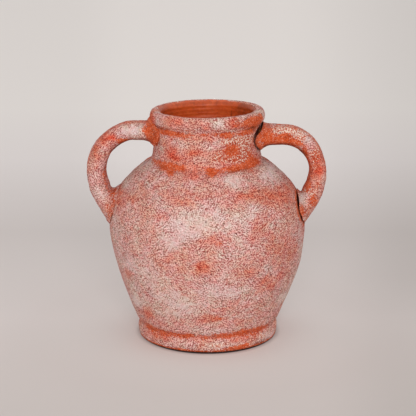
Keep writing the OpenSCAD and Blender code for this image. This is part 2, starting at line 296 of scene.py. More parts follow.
# Wash on the front, patch by patch: (x, z, half width, half height, amount). More cover is whiter, less is redder.
COVER = [
    # belly, whiter
    (-10, 142, 31, 12, 0.38), (-30, 136, 16, 12, 0.2), (-38, 121, 15, 8, 0.38), (20, 149, 16, 8, 0.12), (28, 144, 9, 7, 0.06), (8, 154, 12, 7, 0.2), (40, 141, 7, 10, 0.25),
    (-10, 134, 9, 6, 0.15), (-82, 88, 9, 9, 0.1), (-66, 176, 10, 6, 0.15), (-60, 186, 8, 5, 0.3), (-50, 161, 7, 5, 0.2), (61, 90, 8, 6, 0.2), (68, 135, 8, 6, 0.2), (-15, 99, 6, 6, 0.25), (46, 152, 8, 7, 0.35), (33, 118, 10, 9, 0.2), (-66, 88, 18, 12, 0.18), (-26, 56, 24, 8, 0.32),
    (3, 72, 14, 7, 0.3), (-28, 44, 30, 8, 0.18), (-45, 62, 14, 8, 0.1), (28, 71, 12, 6, 0.3), (26, 179, 10, 6, 0.4), (64, 181, 11, 8, 0.45),
    (-80, 165, 7, 6, 0.3), (-93, 110, 6, 26, 0.15), (-89, 129, 7, 8, 0.1), (95, 100, 3.5, 22, 0.3), (77, 48, 6, 6, 0.55), (-72, 46, 7, 8, 0.6), (-77, 62, 7, 12, 0.2), (29, 171, 8, 5, 0.25), (3, 161, 8, 4, 0.2), (19, 112, 9, 7, 0.2), (33, 131, 8, 6, 0.2), (21, 184, 7, 4, 0.2), (-16, 150, 9, 6, 0.2), (71, 172, 7, 5, 0.15),
    (0, 72, 90, 36, 0.1), (-78, 82, 14, 20, 0.1), (82, 72, 12, 22, 0.2),
    # belly, redder
    (-4, 98, 13, 8, -0.5), (-30, 103, 22, 9, -0.18), (48, 140, 10, 14, -0.22), (6, 126, 13, 4.5, -0.4), (74, 105, 18, 15, -0.2), (86, 101, 9, 18, -0.18),
    (62, 75, 15, 12, -0.33), (78, 80, 7, 6, -0.3), (-42, 101, 8, 8, -0.04), (-61, 38, 8, 8, -0.45), (2, 40, 15, 5.5, -0.48),
    (12, 51, 14, 3, -0.25), (-20, 168, 22, 6, -0.12), (24, 167, 18, 5, -0.3), (70, 161, 12, 8, -0.34), (46, 164, 16, 5.5, -0.4),
    (-47, 148, 13, 5, -0.22), (-62, 160, 12, 7, -0.06), (-74, 170, 9, 8, -0.15), (-77, 158, 8, 6, -0.25), (3, 133, 9, 5, -0.2), (-93, 152, 8, 9, -0.45), (20, 57, 9, 6, -0.2), (73, 153, 8, 6, -0.2), (46, 106, 8, 6, -0.2), (-52, 123, 7, 7, -0.2), (-34, 163, 10, 5, -0.3), (-18, 161, 8, 4, -0.25), (83, 158, 7, 8, -0.3), (-16, 185, 9, 5, -0.3), (40, 90, 8, 5, -0.4), (-81, 79, 5, 7, -0.3),
    # neck
    (0, 204, 50, 17, -0.45), (-48, 205, 6, 10, 0.2), (-34, 205, 6, 8, -0.1), (-8, 211, 18, 7, 0.38), (10, 212, 16, 6, 0.32), (10, 201, 8, 5, 0.2), (8, 197, 16, 5, 0.05), (-10, 199, 14, 5, 0.3),
    (25, 216, 13, 4, 0.4), (38, 210, 8, 9, 0.3), (-14, 204, 5, 4, -0.3), (-35, 199, 9, 5, -0.35), (0, 220, 26, 3.5, -0.15), (-27, 213, 8, 5, 0.32), (-43, 213, 6, 5, -0.2), (41, 212, 6, 6, -0.3), (54, 203, 5, 6, 0.4), (30, 211, 6, 5, -0.25),
    # rim
    (-47, 233, 7, 6, 0.12), (-33, 236.5, 11, 4, -0.45), (-35, 231, 10, 4.5, -0.22), (-58, 233, 5, 6, -0.6), (-10, 233, 10, 4, -0.1), (11, 234, 7.5, 5, 0.55), (24, 238, 6, 3, -0.3), (21, 227, 5, 3, 0.2),
    (54, 234, 6, 6, 0.1), (27, 233, 5, 5, -0.5), (-20, 230, 8, 3, -0.05), (2, 230, 8, 3, -0.25), (40, 229.5, 8, 2.5, -0.4),
    # foot
    (50, 10, 13, 5, -0.1), (58, 9, 6, 4, 0.3), (-60, 10, 10, 6, -0.25), (-30, 8, 14, 4, 0.06), (8, 7, 12, 4, 0.35), (-10, 12, 10, 3, -0.12),
    (30, 12, 7, 3, -0.4), (-48, 12, 9, 4, -0.4), (66, 6, 6, 4, 0.3), (-66, 20, 7, 5, -0.2), (0, 25, 18, 4, 0.3),
]
# Bare clay on the front, and wash that spattered in coarse drops
BARE_AT = [
    (-43, 222.5, 16, 4.0, 1.0), (-24, 222.5, 10, 2.6, 0.6), (20, 222, 6, 4.0, 0.8), (40, 222.5, 12, 3.6, 0.95), (5, 223.5, 18, 2.2, 0.5),
    (24.5, 205.5, 7.5, 5.5, 1.25), (8, 187.5, 20, 3.4, 0.65), (45, 194, 4, 6.5, 0.85), (-42, 188.5, 12, 4.4, 0.95), (-28, 189.0, 8, 3.8, 0.8), (-36.6, 184.0, 3.4, 3.8, 0.8),
    (5, 186.0, 5, 3.0, 0.55), (4.6, 183.5, 3.2, 3.0, 0.5), (34, 188.5, 12, 3.6, 0.9), (41, 192, 6, 3, 0.5), (49, 190, 8, 4.2, 0.8), (-55, 190, 6, 4, 0.25),
    (44.5, 231.3, 10, 4.5, 1.0), (51, 232.5, 6, 4, 0.8), (35, 233, 8, 4.5, 0.12), (47, 236, 9, 3.5, 0.6), (48, 227, 6, 3, 0.7), (-60, 232, 4.5, 7, 1.1), (43, 205, 5, 5, 0.35), (86, 147, 4, 8, 0.3), (29, 231, 3.5, 4, 0.3), (37, 3.5, 8, 3.0, 0.85), (26, 3.5, 8, 2.6, 0.6), (14, 3.2, 9, 2.2, 0.45), (-42, 16.8, 17, 4.2, 0.78), (-20, 16.8, 8, 3.8, 0.8), (-5, 16.2, 6, 3.2, 0.6),
    (12, 17.5, 12, 4.0, 0.7), (36, 18.5, 15, 5.2, 0.95), (56, 18, 9, 4.2, 0.75), (-60, 17.5, 7, 4.4, 0.7), (-58, 10, 9, 3, 0.35), (48, 12, 9, 2.4, 0.4),
    (13, 39, 7, 2.4, 0.35), (13, 124, 4, 3, 0.35),
]
SPATTER = [
    (12, 204, 26, 13, 0.3), (27, 215, 15, 5, 0.9), (37, 205, 9, 12, 0.9), (30, 197, 11, 4.5, 0.85), (12, 200, 9, 6, 0.5), (-22, 195, 18, 3.5, 0.4), (-4, 206, 8, 3, 0.25),
    (30, 235, 7, 4, 0.6), (48, 150, 12, 12, 0.25), (10, 8, 22, 5, 0.6), (58, 9, 10, 5, 0.6), (-30, 8, 14, 5, 0.3),
]
# Darker patches on the front: painted shade in creases, hollows and joints, and some darker clay
SHADE_AND_STAINS = [
    (-51, 214, 6, 11, 0.4), (-47, 226, 12, 1.6, 0.55), (40, 226, 12, 1.4, 0.5), (38, 186, 15, 1.2, 0.5), (-46, 187, 8, 2.2, 0.35), (24, 206, 4.5, 3.4, 0.42), (-50, 203, 5, 12, 0.2), (54, 3, 9, 3, 0.6), (-58, 4, 7, 4, 0.3), (-59, 233, 4, 5, 0.2), (47, 224, 5, 4, 0.5),
]
# Where the sand shows more or less than elsewhere
COARSE = [
    (64, 160, 30, 26, 0.3), (62, 110, 28, 34, 0.3), (68, 62, 22, 24, 0.3), (-52, 92, 26, 26, -0.25), (4, 108, 12, 11, -0.35), (-20, 68, 24, 12, -0.3), (-34, 34, 22, 12, -0.3),
    (-36, 112, 14, 10, -0.3), (-20, 198, 26, 12, -0.3), (-42, 234, 17, 7, -0.55), (114, 171, 10, 12, -0.65), (84, 207, 18, 5, -0.4), (40, 208, 14, 16, 0.3),
]
JOINT_BARE = (0.95, 0.35, 0.3, 0.8)


def patches(X, items, seed=40, warp=1.0):
    """Soft, ragged patches on the front."""
    x = X[..., 0] + 3.2 * warp * layers(X / 9, seed, 2)
    z = X[..., 2] + 2.4 * warp * layers(X / 9, seed + 3, 2)
    total = np.zeros(x.shape)
    for x0, z0, wx, wz, amount in items:
        d = ((x - x0) / wx) ** 2 + ((z - z0) / wz) ** 2
        total += amount * np.exp(-(d**1.25))
    return total * ease(14, -14, X[..., 1])


def cloudy(X, seed):
    """Uneven cover of the wash on the sides and the back, and a little on the front."""
    soft = layers(X / np.array([30.0, 30.0, 19.0]), seed, 3)
    return soft * (0.22 + 0.62 * ease(-40, 10, X[..., 1]))


def joint_bare(X):
    """Bare clay on the wall round each handle's end."""
    total = np.zeros(X.shape[:-1])
    ragged = 0.14 * layers(X / 7, 44, 2)
    for (side, (zc, hz, hy, yc)), amount in zip(JOINTS, JOINT_BARE):
        k = np.sqrt(((X[..., 1] - yc) / hy) ** 2 + ((X[..., 2] - zc) / hz) ** 2) + ragged
        total = np.maximum(total, amount * ease(1.30, 1.06, k) * (X[..., 0] * side > 0))
    return total


def opened(X):
    """1 on the wall inside the two joints of the right handle, which have cracked open."""
    total = np.zeros(X.shape[:-1])
    for (side, (zc, hz, hy, yc)), widest, more in zip(JOINTS[2:], (221, 149), (0.05, 0.0)):
        wide = np.exp(-(((X[..., 2] - widest) / 6) ** 2))
        share = 0.4 + 0.6 * wide
        k = -more * wide + np.sqrt(((X[..., 1] - yc) / hy) ** 2 + ((X[..., 2] - zc) / hz) ** 2) + 0.012 * layers(X / 4, 54, 2)
        total = np.maximum(total, share * ease(1.0, 0.955, k) * ease(4, 15, np.abs(X[..., 1])) * (X[..., 0] > 0))
    return total


def joint_shade(X):
    """Painted shade in the creases round the handles' ends and in the right handle's opened joints."""
    total = np.zeros(X.shape[:-1])
    ragged = 0.05 * layers(X / 6, 53, 2)
    for (side, (zc, hz, hy, yc)), amount in zip(JOINTS, (0.55, 0.75, 0.45, 0.7)):
        k = np.sqrt(((X[..., 1] - yc) / hy) ** 2 + ((X[..., 2] - zc) / hz) ** 2) + ragged
        total = np.maximum(total, amount * np.exp(-(((k - 1.03) / 0.07) ** 2)) * (X[..., 0] * side > 0))
    return np.maximum(total, opened(X))


def body_marks(X):
    """Marks for the turned pieces; they follow the place only, so they run on from piece to piece."""
    z = X[..., 2]
    back = ease(-16, 16, X[..., 1])
    bands = np.maximum(
        np.maximum(ease(194, 189, z + 4 * layers(X / 14, 37, 2)) * ease(180, 184, z + 3 * layers(X / 9, 39, 2)), ease(220, 223, z + 3 * layers(X / 12, 38, 2)) * ease(230, 228, z)),
        ease(13.2, 14.6, z + 1.2 * layers(X / 15, 49, 2)) * ease(23, 20, z + 3 * layers(X / 14, 33, 2)),
    )
    worn = ease(3.6, 1.2, z + 1.2 * layers(X / 8, 48, 2))
    scuffs = 0.8 * ease(0.42, 0.62, layers(X / np.array([22.0, 22.0, 12.0]), 57, 3)) * back
    bare = np.maximum(patches(X, BARE_AT, 42, 0.7), back * bands * (0.75 + 0.5 * layers(X / 20, 36, 2)))
    bare = np.clip(np.maximum(np.maximum(bare, 0.85 * worn), np.maximum(joint_bare(X), scuffs)), 0, 1.1)
    cover = patches(X, COVER) + 0.62 * cloudy(X, 30)
    spatter = np.clip(patches(X, SPATTER, 45) + back * ease(0.1, 0.5, layers(X / 26, 58, 2)), 0, 1)
    # Painted shade: the creases at the neck's base, under the rim and in the foot's groove, the foot's bottom edge at
    # the floor and the handles' joints are darkened; a few patches are darker clay.
    creases = np.exp(-(((z - 185.6 - 0.8 * layers(X / 11, 59, 2)) / 1.1) ** 2)) + np.exp(-(((z - 226.4) / 1.2) ** 2)) + np.exp(-(((z - 15.6) / 0.9) ** 2))
    shade_and_stain = np.maximum(np.maximum(patches(X, SHADE_AND_STAINS, 46, 0.5), 0.6 * ease(2.2, 0.2, z)), 0.55 * creases * ease(-0.35, 0.45, layers(X / 17, 61, 2)))
    coarse = patches(X, COARSE, 63) + 0.25 * back * layers(X / 30, 64, 2)
    return {"cover": cover, "bare": bare, "spatter": spatter, "coarse": coarse, "shade_and_stain": np.clip(np.maximum(shade_and_stain, joint_shade(X)), 0, 1)}


def inside_shade(X):
    """Painted shade inside the mouth: darker at the two sides and deeper down, with a dark vertical mark on the back
    wall.
    """
    ragged = layers(X / 13, 74, 2)
    sides = (0.6 + 0.06 * np.sign(X[..., 0])) * ease(20, 46, np.abs(X[..., 0] + 3) + 5 * ragged)
    nick = 0.7 * np.exp(-(((X[..., 0] - 25.5) / 1.3) ** 2)) * ease(214, 219, X[..., 2]) * ease(232, 229, X[..., 2]) * (X[..., 1] > 0)
    return np.maximum(np.maximum(sides, nick), 0.5 * ease(218, 192, X[..., 2])) + 0.12 * ragged


# ---------------------------------------------------------------- materials


def srgb(r, g, b):
    def lin(v):
        v /= 255
        return v / 12.92 if v <= 0.04045 else ((v + 0.055) / 1.055) ** 2.4

    return (lin(r), lin(g), lin(b), 1)


def lift(colour, by):
    return tuple(min(c / k, 1.0) for c, k in zip(colour[:3], by)) + (1,)


class Nodes:
    """Short calls that add shader nodes."""

    def __init__(self, name):
        self.mat = bpy.data.materials.new(name)
        self.mat.use_nodes = True
        self.t = self.mat.node_tree
        self.t.nodes.clear()

    def add(self, kind, **values):
        n = self.t.nodes.new(kind)
        for k, v in values.items():
            setattr(n, k, v)
        return n

    def put(self, socket, value):
        if isinstance(value, bpy.types.NodeSocket):
            self.t.links.new(value, socket)
        else:
            socket.default_value = value

    def math(self, op, a, b=0.0, c=None, clamp=False):
        n = self.add("ShaderNodeMath", operation=op, use_clamp=clamp)
        self.put(n.inputs[0], a)
        self.put(n.inputs[1], b)
        if c is not None:
            self.put(n.inputs[2], c)
        return n.outputs[0]

    def plus(self, base, value, amount, middle=0.5):
        """base + (value - middle) * amount"""
        return self.math("MULTIPLY_ADD", self.math("SUBTRACT", value, middle), amount, base)

    def range(self, value, a, b, c=0.0, d=1.0, smooth=True):
        n = self.add("ShaderNodeMapRange", interpolation_type="SMOOTHSTEP" if smooth else "LINEAR")
        self.put(n.inputs[0], value)
        for k, v in zip((1, 2, 3, 4), (a, b, c, d)):
            self.put(n.inputs[k], v)
        return n.outputs[0]

    def noise(self, vector, scale, detail=2.0, rough=0.5, bend=0.0):
        n = self.add("ShaderNodeTexNoise")
        self.put(n.inputs["Vector"], vector)
        n.inputs["Scale"].default_value = scale
        n.inputs["Detail"].default_value = detail
        n.inputs["Roughness"].default_value = rough
        n.inputs["Distortion"].default_value = bend
        return n.outputs[0]

    def cells(self, vector, scale):
        """Hard-edged grains, each with a value of its own."""
        n = self.add("ShaderNodeTexVoronoi", feature="F1", distance="EUCLIDEAN")
        self.put(n.inputs["Vector"], vector)
        n.inputs["Scale"].default_value = scale
        pick = self.add("ShaderNodeSeparateColor")
        self.put(pick.inputs[0], n.outputs["Color"])
        return pick.outputs[0]

    def flecks(self, vector, turn, by):
        """Small ridges and gaps side by side, drawn out along the brush; about -0.3 to 0.3."""
        base = self.shift(vector, (0, 0, 0), (1, 1, 1), (0, math.radians(turn), 0))
        a = self.noise(self.shift(base, by, (0.66, 0.85, 1.0)), 0.9, 0.0)
        b = self.noise(self.shift(base, (by[0], by[1], by[2] + 1.3), (0.66, 0.85, 1.0)), 0.9, 0.0)
        return self.math("SUBTRACT", a, b)

    def ramp(self, fac, stops):
        n = self.add("ShaderNodeValToRGB")
        e = n.color_ramp.elements
        while len(e) < len(stops):
            e.new(0.5)
        for el, (at, colour) in zip(e, stops):
            el.position = at
            el.color = colour
        self.put(n.inputs[0], fac)
        return n.outputs[0]

    def mix(self, fac, a, b, blend="MIX"):
        n = self.add("ShaderNodeMix", data_type="RGBA", blend_type=blend)
        self.put(n.inputs[0], fac)
        self.put(n.inputs[6], a)
        self.put(n.inputs[7], b)
        return n.outputs[2]

    def mark(self, name):
        return self.add("ShaderNodeAttribute", attribute_name=name).outputs["Fac"]

    def shift(self, vector, by, scale=(1, 1, 1), turn=(0, 0, 0)):
        n = self.add("ShaderNodeMapping")
        self.put(n.inputs["Vector"], vector)
        n.inputs["Location"].default_value = by
        n.inputs["Rotation"].default_value = turn
        n.inputs["Scale"].default_value = scale
        return n.outputs[0]

    def millimetres(self):
        return self.shift(self.add("ShaderNodeTexCoord").outputs["Object"], (0, 0, 0), (1000, 1000, 1000))


# Light grains and dark gaps multiply the colour of the wash; the dark gaps are partly red clay and partly painted shade
# between the grains. MIDDLE is the grain's usual value
MIDDLE = (0.72, 0.60, 0.57)
CLAY_DEEP = srgb(154, 50, 14)
CLAY = srgb(202, 80, 33)
CLAY_LIGHT = srgb(217, 110, 70)


def limewash(name):
    """Sandy limewash rubbed over rough terracotta. The marks say where it is thick, thin, spattered or gone."""
    n = Nodes(name)
    at = n.millimetres()
    cover, bare, spatter, inside, pit, shade_and_stain, coarse = (n.mark(k) for k in ("cover", "bare", "spatter", "inside", "pit", "shade_and_stain", "coarse"))
    blot = n.noise(n.shift(at, (3, 57, 11), (1, 1, 1.4)), 0.11, 1.6, 0.55, 0.5)
    mottle = n.noise(n.shift(at, (29, 5, 83)), 0.27, 2.0, 0.55, 0.5)
    flake = n.noise(n.shift(at, (13, 41, 67)), 0.75, 1.0, 0.5, 0.6)
    sand = n.noise(n.shift(at, (31, 7, 19)), 1.5, 0.0, 0.5, 0.3)
    drops = n.noise(n.shift(at, (61, 33, 7)), 0.75, 0.5, 0.5, 0.5)
    tint = n.noise(n.shift(at, (7, 19, 43)), 0.06, 2.0, 0.5, 0.3)
    # grains drawn out by the brush, one way here and the other way there
    one = n.cells(n.shift(n.shift(at, (0, 0, 0), (1, 1, 1), (0, math.radians(42), 0)), (17, 2, 9), (0.7, 0.9, 1.0)), 1.5)
    two = n.cells(n.shift(n.shift(at, (0, 0, 0), (1, 1, 1), (0, math.radians(-36), 0)), (5, 12, 31), (0.7, 0.9, 1.0)), 1.5)
    turn = n.range(n.noise(n.shift(at, (23, 3, 77)), 0.035, 1.0, 0.5, 0.0), 0.44, 0.56)
    strokes = n.math("ADD", n.math("MULTIPLY", one, turn), n.math("MULTIPLY", two, n.math("SUBTRACT", 1.0, turn)))
    flecks = n.math("ADD", n.math("MULTIPLY", n.flecks(at, 42, (17, 2, 9)), turn), n.math("MULTIPLY", n.flecks(at, -36, (5, 12, 31)), n.math("SUBTRACT", 1.0, turn)))
    # how thick the wash is
    thick = n.math("MULTIPLY_ADD", cover, 0.7, 0.5)
    thick = n.plus(n.plus(n.plus(thick, blot, 0.6), mottle, 0.16), flake, 0.08)
    base = n.ramp(
        thick,
        [(0.02, lift(srgb(198, 84, 60), MIDDLE)), (0.2, lift(srgb(204, 118, 97), MIDDLE)), (0.36, lift(srgb(203, 138, 122), MIDDLE)), (0.5, lift(srgb(206, 153, 142), MIDDLE)), (0.74, lift(srgb(209, 174, 167), MIDDLE)), (0.98, lift(srgb(213, 188, 185), MIDDLE))],
    )
    base = n.mix(1.0, base, n.ramp(tint, [(0.36, (1.0, 0.955, 1.0, 1)), (0.5, (0.99, 0.99, 0.99, 1)), (0.64, (0.98, 1.0, 0.95, 1))]), "MULTIPLY")
    blush = n.noise(n.shift(at, (47, 9, 3), (1, 1, 1.5)), 0.15, 1.2, 0.55, 0.9)
    base = n.mix(1.0, base, n.ramp(blush, [(0.36, (0.95, 1.0, 0.99, 1)), (0.5, (0.98, 0.98, 0.98, 1)), (0.66, (1.0, 0.88, 0.885, 1))]), "MULTIPLY")
    # sand grains: smoother where the wash is thick
    grain = n.plus(n.plus(n.plus(0.5, sand, 0.45), strokes, 0.33), flecks, 0.46, 0.0)
    depth = n.range(thick, 0.55, 0.82, 6.0, 1.15)
    depth = n.math("MULTIPLY", depth, n.range(n.noise(n.shift(at, (9, 51, 27), (1, 1, 1.3)), 0.055, 2.0, 0.5, 0.6), 0.36, 0.62, 0.7, 1.12))
    depth = n.math("MULTIPLY", depth, n.math("ADD", coarse, 1.0))
    grain = n.math("MULTIPLY_ADD", n.math("SUBTRACT", grain, 0.5), depth, 0.53)
    red_gaps = n.ramp(grain, [(0.0, (0.41, 0.13, 0.125, 1)), (0.24, (0.56, 0.31, 0.29, 1)), (0.5, MIDDLE + (1,)), (0.76, (0.88, 0.80, 0.77, 1)), (1.0, (1, 0.975, 0.95, 1))])
    grey_gaps = n.ramp(grain, [(0.0, (0.31, 0.21, 0.165, 1)), (0.24, (0.51, 0.385, 0.335, 1)), (0.5, MIDDLE + (1,)), (0.76, (0.87, 0.81, 0.765, 1)), (1.0, (0.99, 0.98, 0.92, 1))])
    hue = n.noise(n.shift(at, (37, 23, 71)), 0.38, 1.0, 0.5, 0.5)
    grains = n.mix(n.range(n.plus(thick, hue, 1.3), 0.38, 0.78), red_gaps, grey_gaps)
    washed = n.mix(1.0, base, grains, "MULTIPLY")
    # coarse drops of wash on red clay
    drop = n.plus(n.plus(n.plus(drops, cover, 0.14, 0.0), sand, 0.3), strokes, 0.12)
    dropped = n.mix(n.range(drop, 0.505, 0.55), srgb(192, 80, 48), srgb(234, 192, 170))
    dropped = n.mix(n.range(drop, 0.56, 0.63), dropped, srgb(246, 226, 210))
    dropped = n.mix(0.45, dropped, grains, "MULTIPLY")
    washed = n.mix(n.range(n.plus(spatter, mottle, 0.9), 0.3, 0.8, 0.0, 0.9), washed, dropped)
    # bare clay, ragged at its edges, with flecks of wash left on it
    edge = n.plus(n.plus(n.plus(bare, mottle, 1.0), flake, 1.5), strokes, 0.4)
    gone = n.range(edge, 0.33, 0.66)
    gone = n.math("MAXIMUM", gone, n.range(inside, 0.45, 0.75))
    tone = n.noise(n.shift(at, (71, 3, 5), (1, 1, 2.0)), 0.15, 3.0, 0.6, 0.4)
    clay = n.ramp(n.plus(tone, sand, 0.5), [(0.25, CLAY_DEEP), (0.46, CLAY), (0.75, CLAY_LIGHT)])
    outside = n.range(inside, 0.1, 0.6, 1.0, 0.0)
    left = n.math("MULTIPLY", n.range(n.plus(n.plus(drops, sand, 0.5), strokes, 0.25), 0.62, 0.74, 0.0, 0.6), outside)
    clay = n.mix(left, clay, srgb(226, 166, 142))
    # painted shade in the hollows between the grains of the bare clay
    dark = n.range(grain, 0.0, 0.45, 0.5, 0.0)
    clay = n.mix(n.math("MULTIPLY", dark, outside), clay, CLAY_DEEP)
    clay = n.mix(n.range(inside, 0.5, 0.9, 0.0, 0.94), clay, n.ramp(tone, [(0.25, srgb(194, 72, 24)), (0.5, srgb(212, 86, 32)), (0.75, srgb(224, 100, 42))]))
    colour = n.mix(gone, washed, clay)
    # painted shade, and some darker clay: marked creases, hollows, cracks and joints are mixed towards dark brown
    colour = n.mix(n.range(n.plus(shade_and_stain, mottle, 0.7), 0.1, 1.0, 0.0, 0.85), colour, srgb(100, 38, 10))
    # dark specks and open pits: small hollows and the opened cracks painted dark as their shade
    dots = n.add("ShaderNodeTexVoronoi", feature="F1", distance="EUCLIDEAN")
    n.put(dots.inputs["Vector"], at)
    dots.inputs["Scale"].default_value = 0.17
    pick = n.add("ShaderNodeSeparateColor")
    n.put(pick.inputs[0], dots.outputs["Color"])
    speck = n.math("MULTIPLY", n.range(dots.outputs["Distance"], 0.11, 0.18, 1.0, 0.0), n.range(pick.outputs[0], 0.5, 0.8))
    colour = n.mix(n.math("MULTIPLY", speck, n.range(gone, 0.0, 1.0, 0.85, 0.2)), colour, srgb(92, 38, 32))
    colour = n.mix(n.range(pit, 0.15, 0.75, 0.0, 0.85), colour, srgb(92, 36, 28))
    bsdf = n.add("ShaderNodeBsdfPrincipled")
    n.put(bsdf.inputs["Base Color"], colour)
    rough = n.math("MINIMUM", n.range(gone, 0.0, 1.0, 0.92, 0.72, False), n.range(inside, 0.5, 0.9, 0.95, 0.45))
    n.put(bsdf.inputs["Roughness"], n.plus(rough, sand, 0.16))
    n.put(bsdf.inputs["Specular IOR Level"], n.range(inside, 0.5, 0.9, 0.2, 0.42))
    relief = n.math("SUBTRACT", n.plus(grain, drops, 0.6), n.math("MULTIPLY", speck, 0.5))
    relief = n.math("MULTIPLY", relief, n.math("MULTIPLY", n.range(gone, 0.0, 1.0, 1.0, 0.45), n.range(inside, 0.5, 0.9, 1.0, 0.06)))
    bump = n.add("ShaderNodeBump")
    bump.inputs["Strength"].default_value = 0.5
    bump.inputs["Distance"].default_value = 0.0004
    n.put(bump.inputs["Height"], relief)
    n.put(bsdf.inputs["Normal"], bump.outputs[0])
    out = n.add("ShaderNodeOutputMaterial")
    n.t.links.new(bsdf.outputs[0], out.inputs[0])
    return n.mat


def raw_clay(name, deep, mid, light, rough):
    """Unwashed clay: the floor slab and what is left in the cracks."""
    n = Nodes(name)
    at = n.millimetres()
    tone = n.noise(at, 0.22, 3.0, 0.6, 0.7)
    fine = n.noise(n.shift(at, (5, 17, 29)), 0.9, 2.0, 0.6, 0.3)
    colour = n.ramp(n.plus(tone, fine, 0.4), [(0.22, deep), (0.48, mid), (0.78, light)])
    bsdf = n.add("ShaderNodeBsdfPrincipled")
    n.put(bsdf.inputs["Base Color"], colour)
    n.put(bsdf.inputs["Roughness"], n.range(fine, 0.2, 0.8, rough - 0.1, rough + 0.1, False))
    bsdf.inputs["Specular IOR Level"].default_value = 0.3
    bump = n.add("ShaderNodeBump")
    bump.inputs["Strength"].default_value = 0.4
    bump.inputs["Distance"].default_value = 0.0005
    n.put(bump.inputs["Height"], n.plus(tone, fine, 0.4))
    n.put(bsdf.inputs["Normal"], bump.outputs[0])
    out = n.add("ShaderNodeOutputMaterial")
    n.t.links.new(bsdf.outputs[0], out.inputs[0])
    return n.mat


WASH = limewash("limewashed_terracotta")
BARE = raw_clay("bare_terracotta", srgb(160, 66, 36), srgb(190, 86, 54), srgb(206, 108, 78), 0.7)
CRACK_CLAY = raw_clay("crack_clay", srgb(52, 28, 12), srgb(104, 58, 24), srgb(150, 92, 44), 0.85)


def settle(ob, node, material):
    ob.data.materials.append(material)
    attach(ob, "root")
    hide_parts(node)
    return ob


# ---------------------------------------------------------------- handles' routes and joints

LEFT_ROUTE = [(70, 217.9, 10.6), (81, 217.4, 10.5), (93, 212.4, 10.5), (103, 204.5, 10.5), (110, 194.5, 10.4), (113.7, 182.5, 10.4), (114, 170, 10.6), (111.5, 158.5, 11.1)]
# each joint: middle height, half height, half width, and how far its middle lies behind the handle's own
LEFT_UPPER, LEFT_LOWER = (217.0, 14.0, 24, 0), (139, 19, 26, 0)
RIGHT_ROUTE = [(69, 212.8, 10.9), (82, 212.2, 10.4), (92.4, 209.2, 10.1), (101.6, 203.3, 9.9), (108.5, 194.9, 9.5), (113, 184.5, 9.2), (114.5, 174, 9.6), (112.7, 162.5, 10.4), (109.3, 152.5, 11.1)]
RIGHT_UPPER, RIGHT_LOWER = (212, 14.5, 27.5, -1.5), (138, 17, 30.5, -3)
JOINTS = [(-1, LEFT_UPPER), (-1, LEFT_LOWER), (1, RIGHT_UPPER), (1, RIGHT_LOWER)]

# ---------------------------------------------------------------- belly


def build_belly():
    cols = 480
    z = np.concatenate([np.linspace(FOOT_H, FOOT_H + 4, 8, endpoint=False), np.linspace(FOOT_H + 4, NECK_Z, 158)])
    r = belly_out(z) - (belly_out(FOOT_H) - SEAT_R) * np.exp(-(((z - FOOT_H) / 2.0) ** 1.3))
    section = list(zip(r, z))[:-1]
    n_out = len(section)
    section += line((float(belly_out(NECK_Z)), NECK_Z), (SPIGOT_R + 0.2, NECK_Z), 4)
    zi = np.linspace(NECK_Z, FOOT_H + 8, 30)
    section += [(max(float(belly_in(k)), SPIGOT_R + 0.2), float(k)) for k in zi]
    section += [(FLOOR_R - 4, FOOT_H + 1), (FLOOR_R - 6, LEDGE_H + FLOOR_T), (FLOOR_R, LEDGE_H + FLOOR_T), (FLOOR_R, FOOT_H)]
    X, N = ring_grid(section, cols), outward(section, cols)
    rows = len(section)
    show = np.zeros(rows)
    show[:n_out] = ease(FOOT_H, FOOT_H + 2.5, z[:-1]) * (0.25 + 0.75 * ease(NECK_Z, NECK_Z - 3, z[:-1]))
    inner = np.zeros(rows)
    inner[n_out + 4 : n_out + 34] = 1
    show = show[:, None]
    pit = specks(X, 9.5, 0.25, 0.8, 1.7, 60) * (show > 0.5)
    d = hand(X, 1) * show - 0.5 * pit - 2.0 * opened(X) * (show > 0.5)
    # the opened crack also takes the pit mark, which paints its shade dark
    pit = np.maximum(pit, opened(X))
    d = d + 0.12 * noise(np.stack([X[..., 2] / 5.0, X[..., 0] / 120, X[..., 1] / 120], -1), 14) * show
    rings = np.sin(X[..., 2] * 2 * math.pi / 7.5 + 1.5 * noise(X / 40, 8))
    d = d + inner[:, None] * (0.5 * rings + 0.25 * layers(X / 12, 21, 2))
    inside = np.repeat(np.where(np.arange(rows) >= n_out + 2, 1.0, 0.0)[:, None], cols, 1)
    marks = body_marks(X) | {"inside": inside, "pit": pit}
    ob = grid_object("belly", lean(X + N * d[..., None]), marks, True, 2, np.where(inside[:, 0] > 0, 0.3, 1.0))
    return settle(ob, "belly_wall", WASH)


# ---------------------------------------------------------------- neck and rim


def inside_relief(X):
    """Throwing rings and finger marks inside the neck and the rim."""
    z = X[..., 2] + 0.8 * noise(X / 30, 70)
    rings = 0.2 * np.sin(z * 2 * math.pi / 4.1) + 0.3 * np.sin(z * 2 * math.pi / 9.1 + 1.0)
    return rings * (0.55 + 0.45 * noise(X / 25, 72)) + 0.15 * layers(X / 18, 73, 2)


def push_in(P, X, rows, amount):
    """Move the inside rows towards the axis by an amount in millimetres."""
    flat = X[rows, :, :2]
    r = np.linalg.norm(flat, axis=-1, keepdims=True)
    P[rows, :, :2] = flat * (1 - amount[rows][..., None] / r)
    P[rows, :, 2] = X[rows, :, 2]


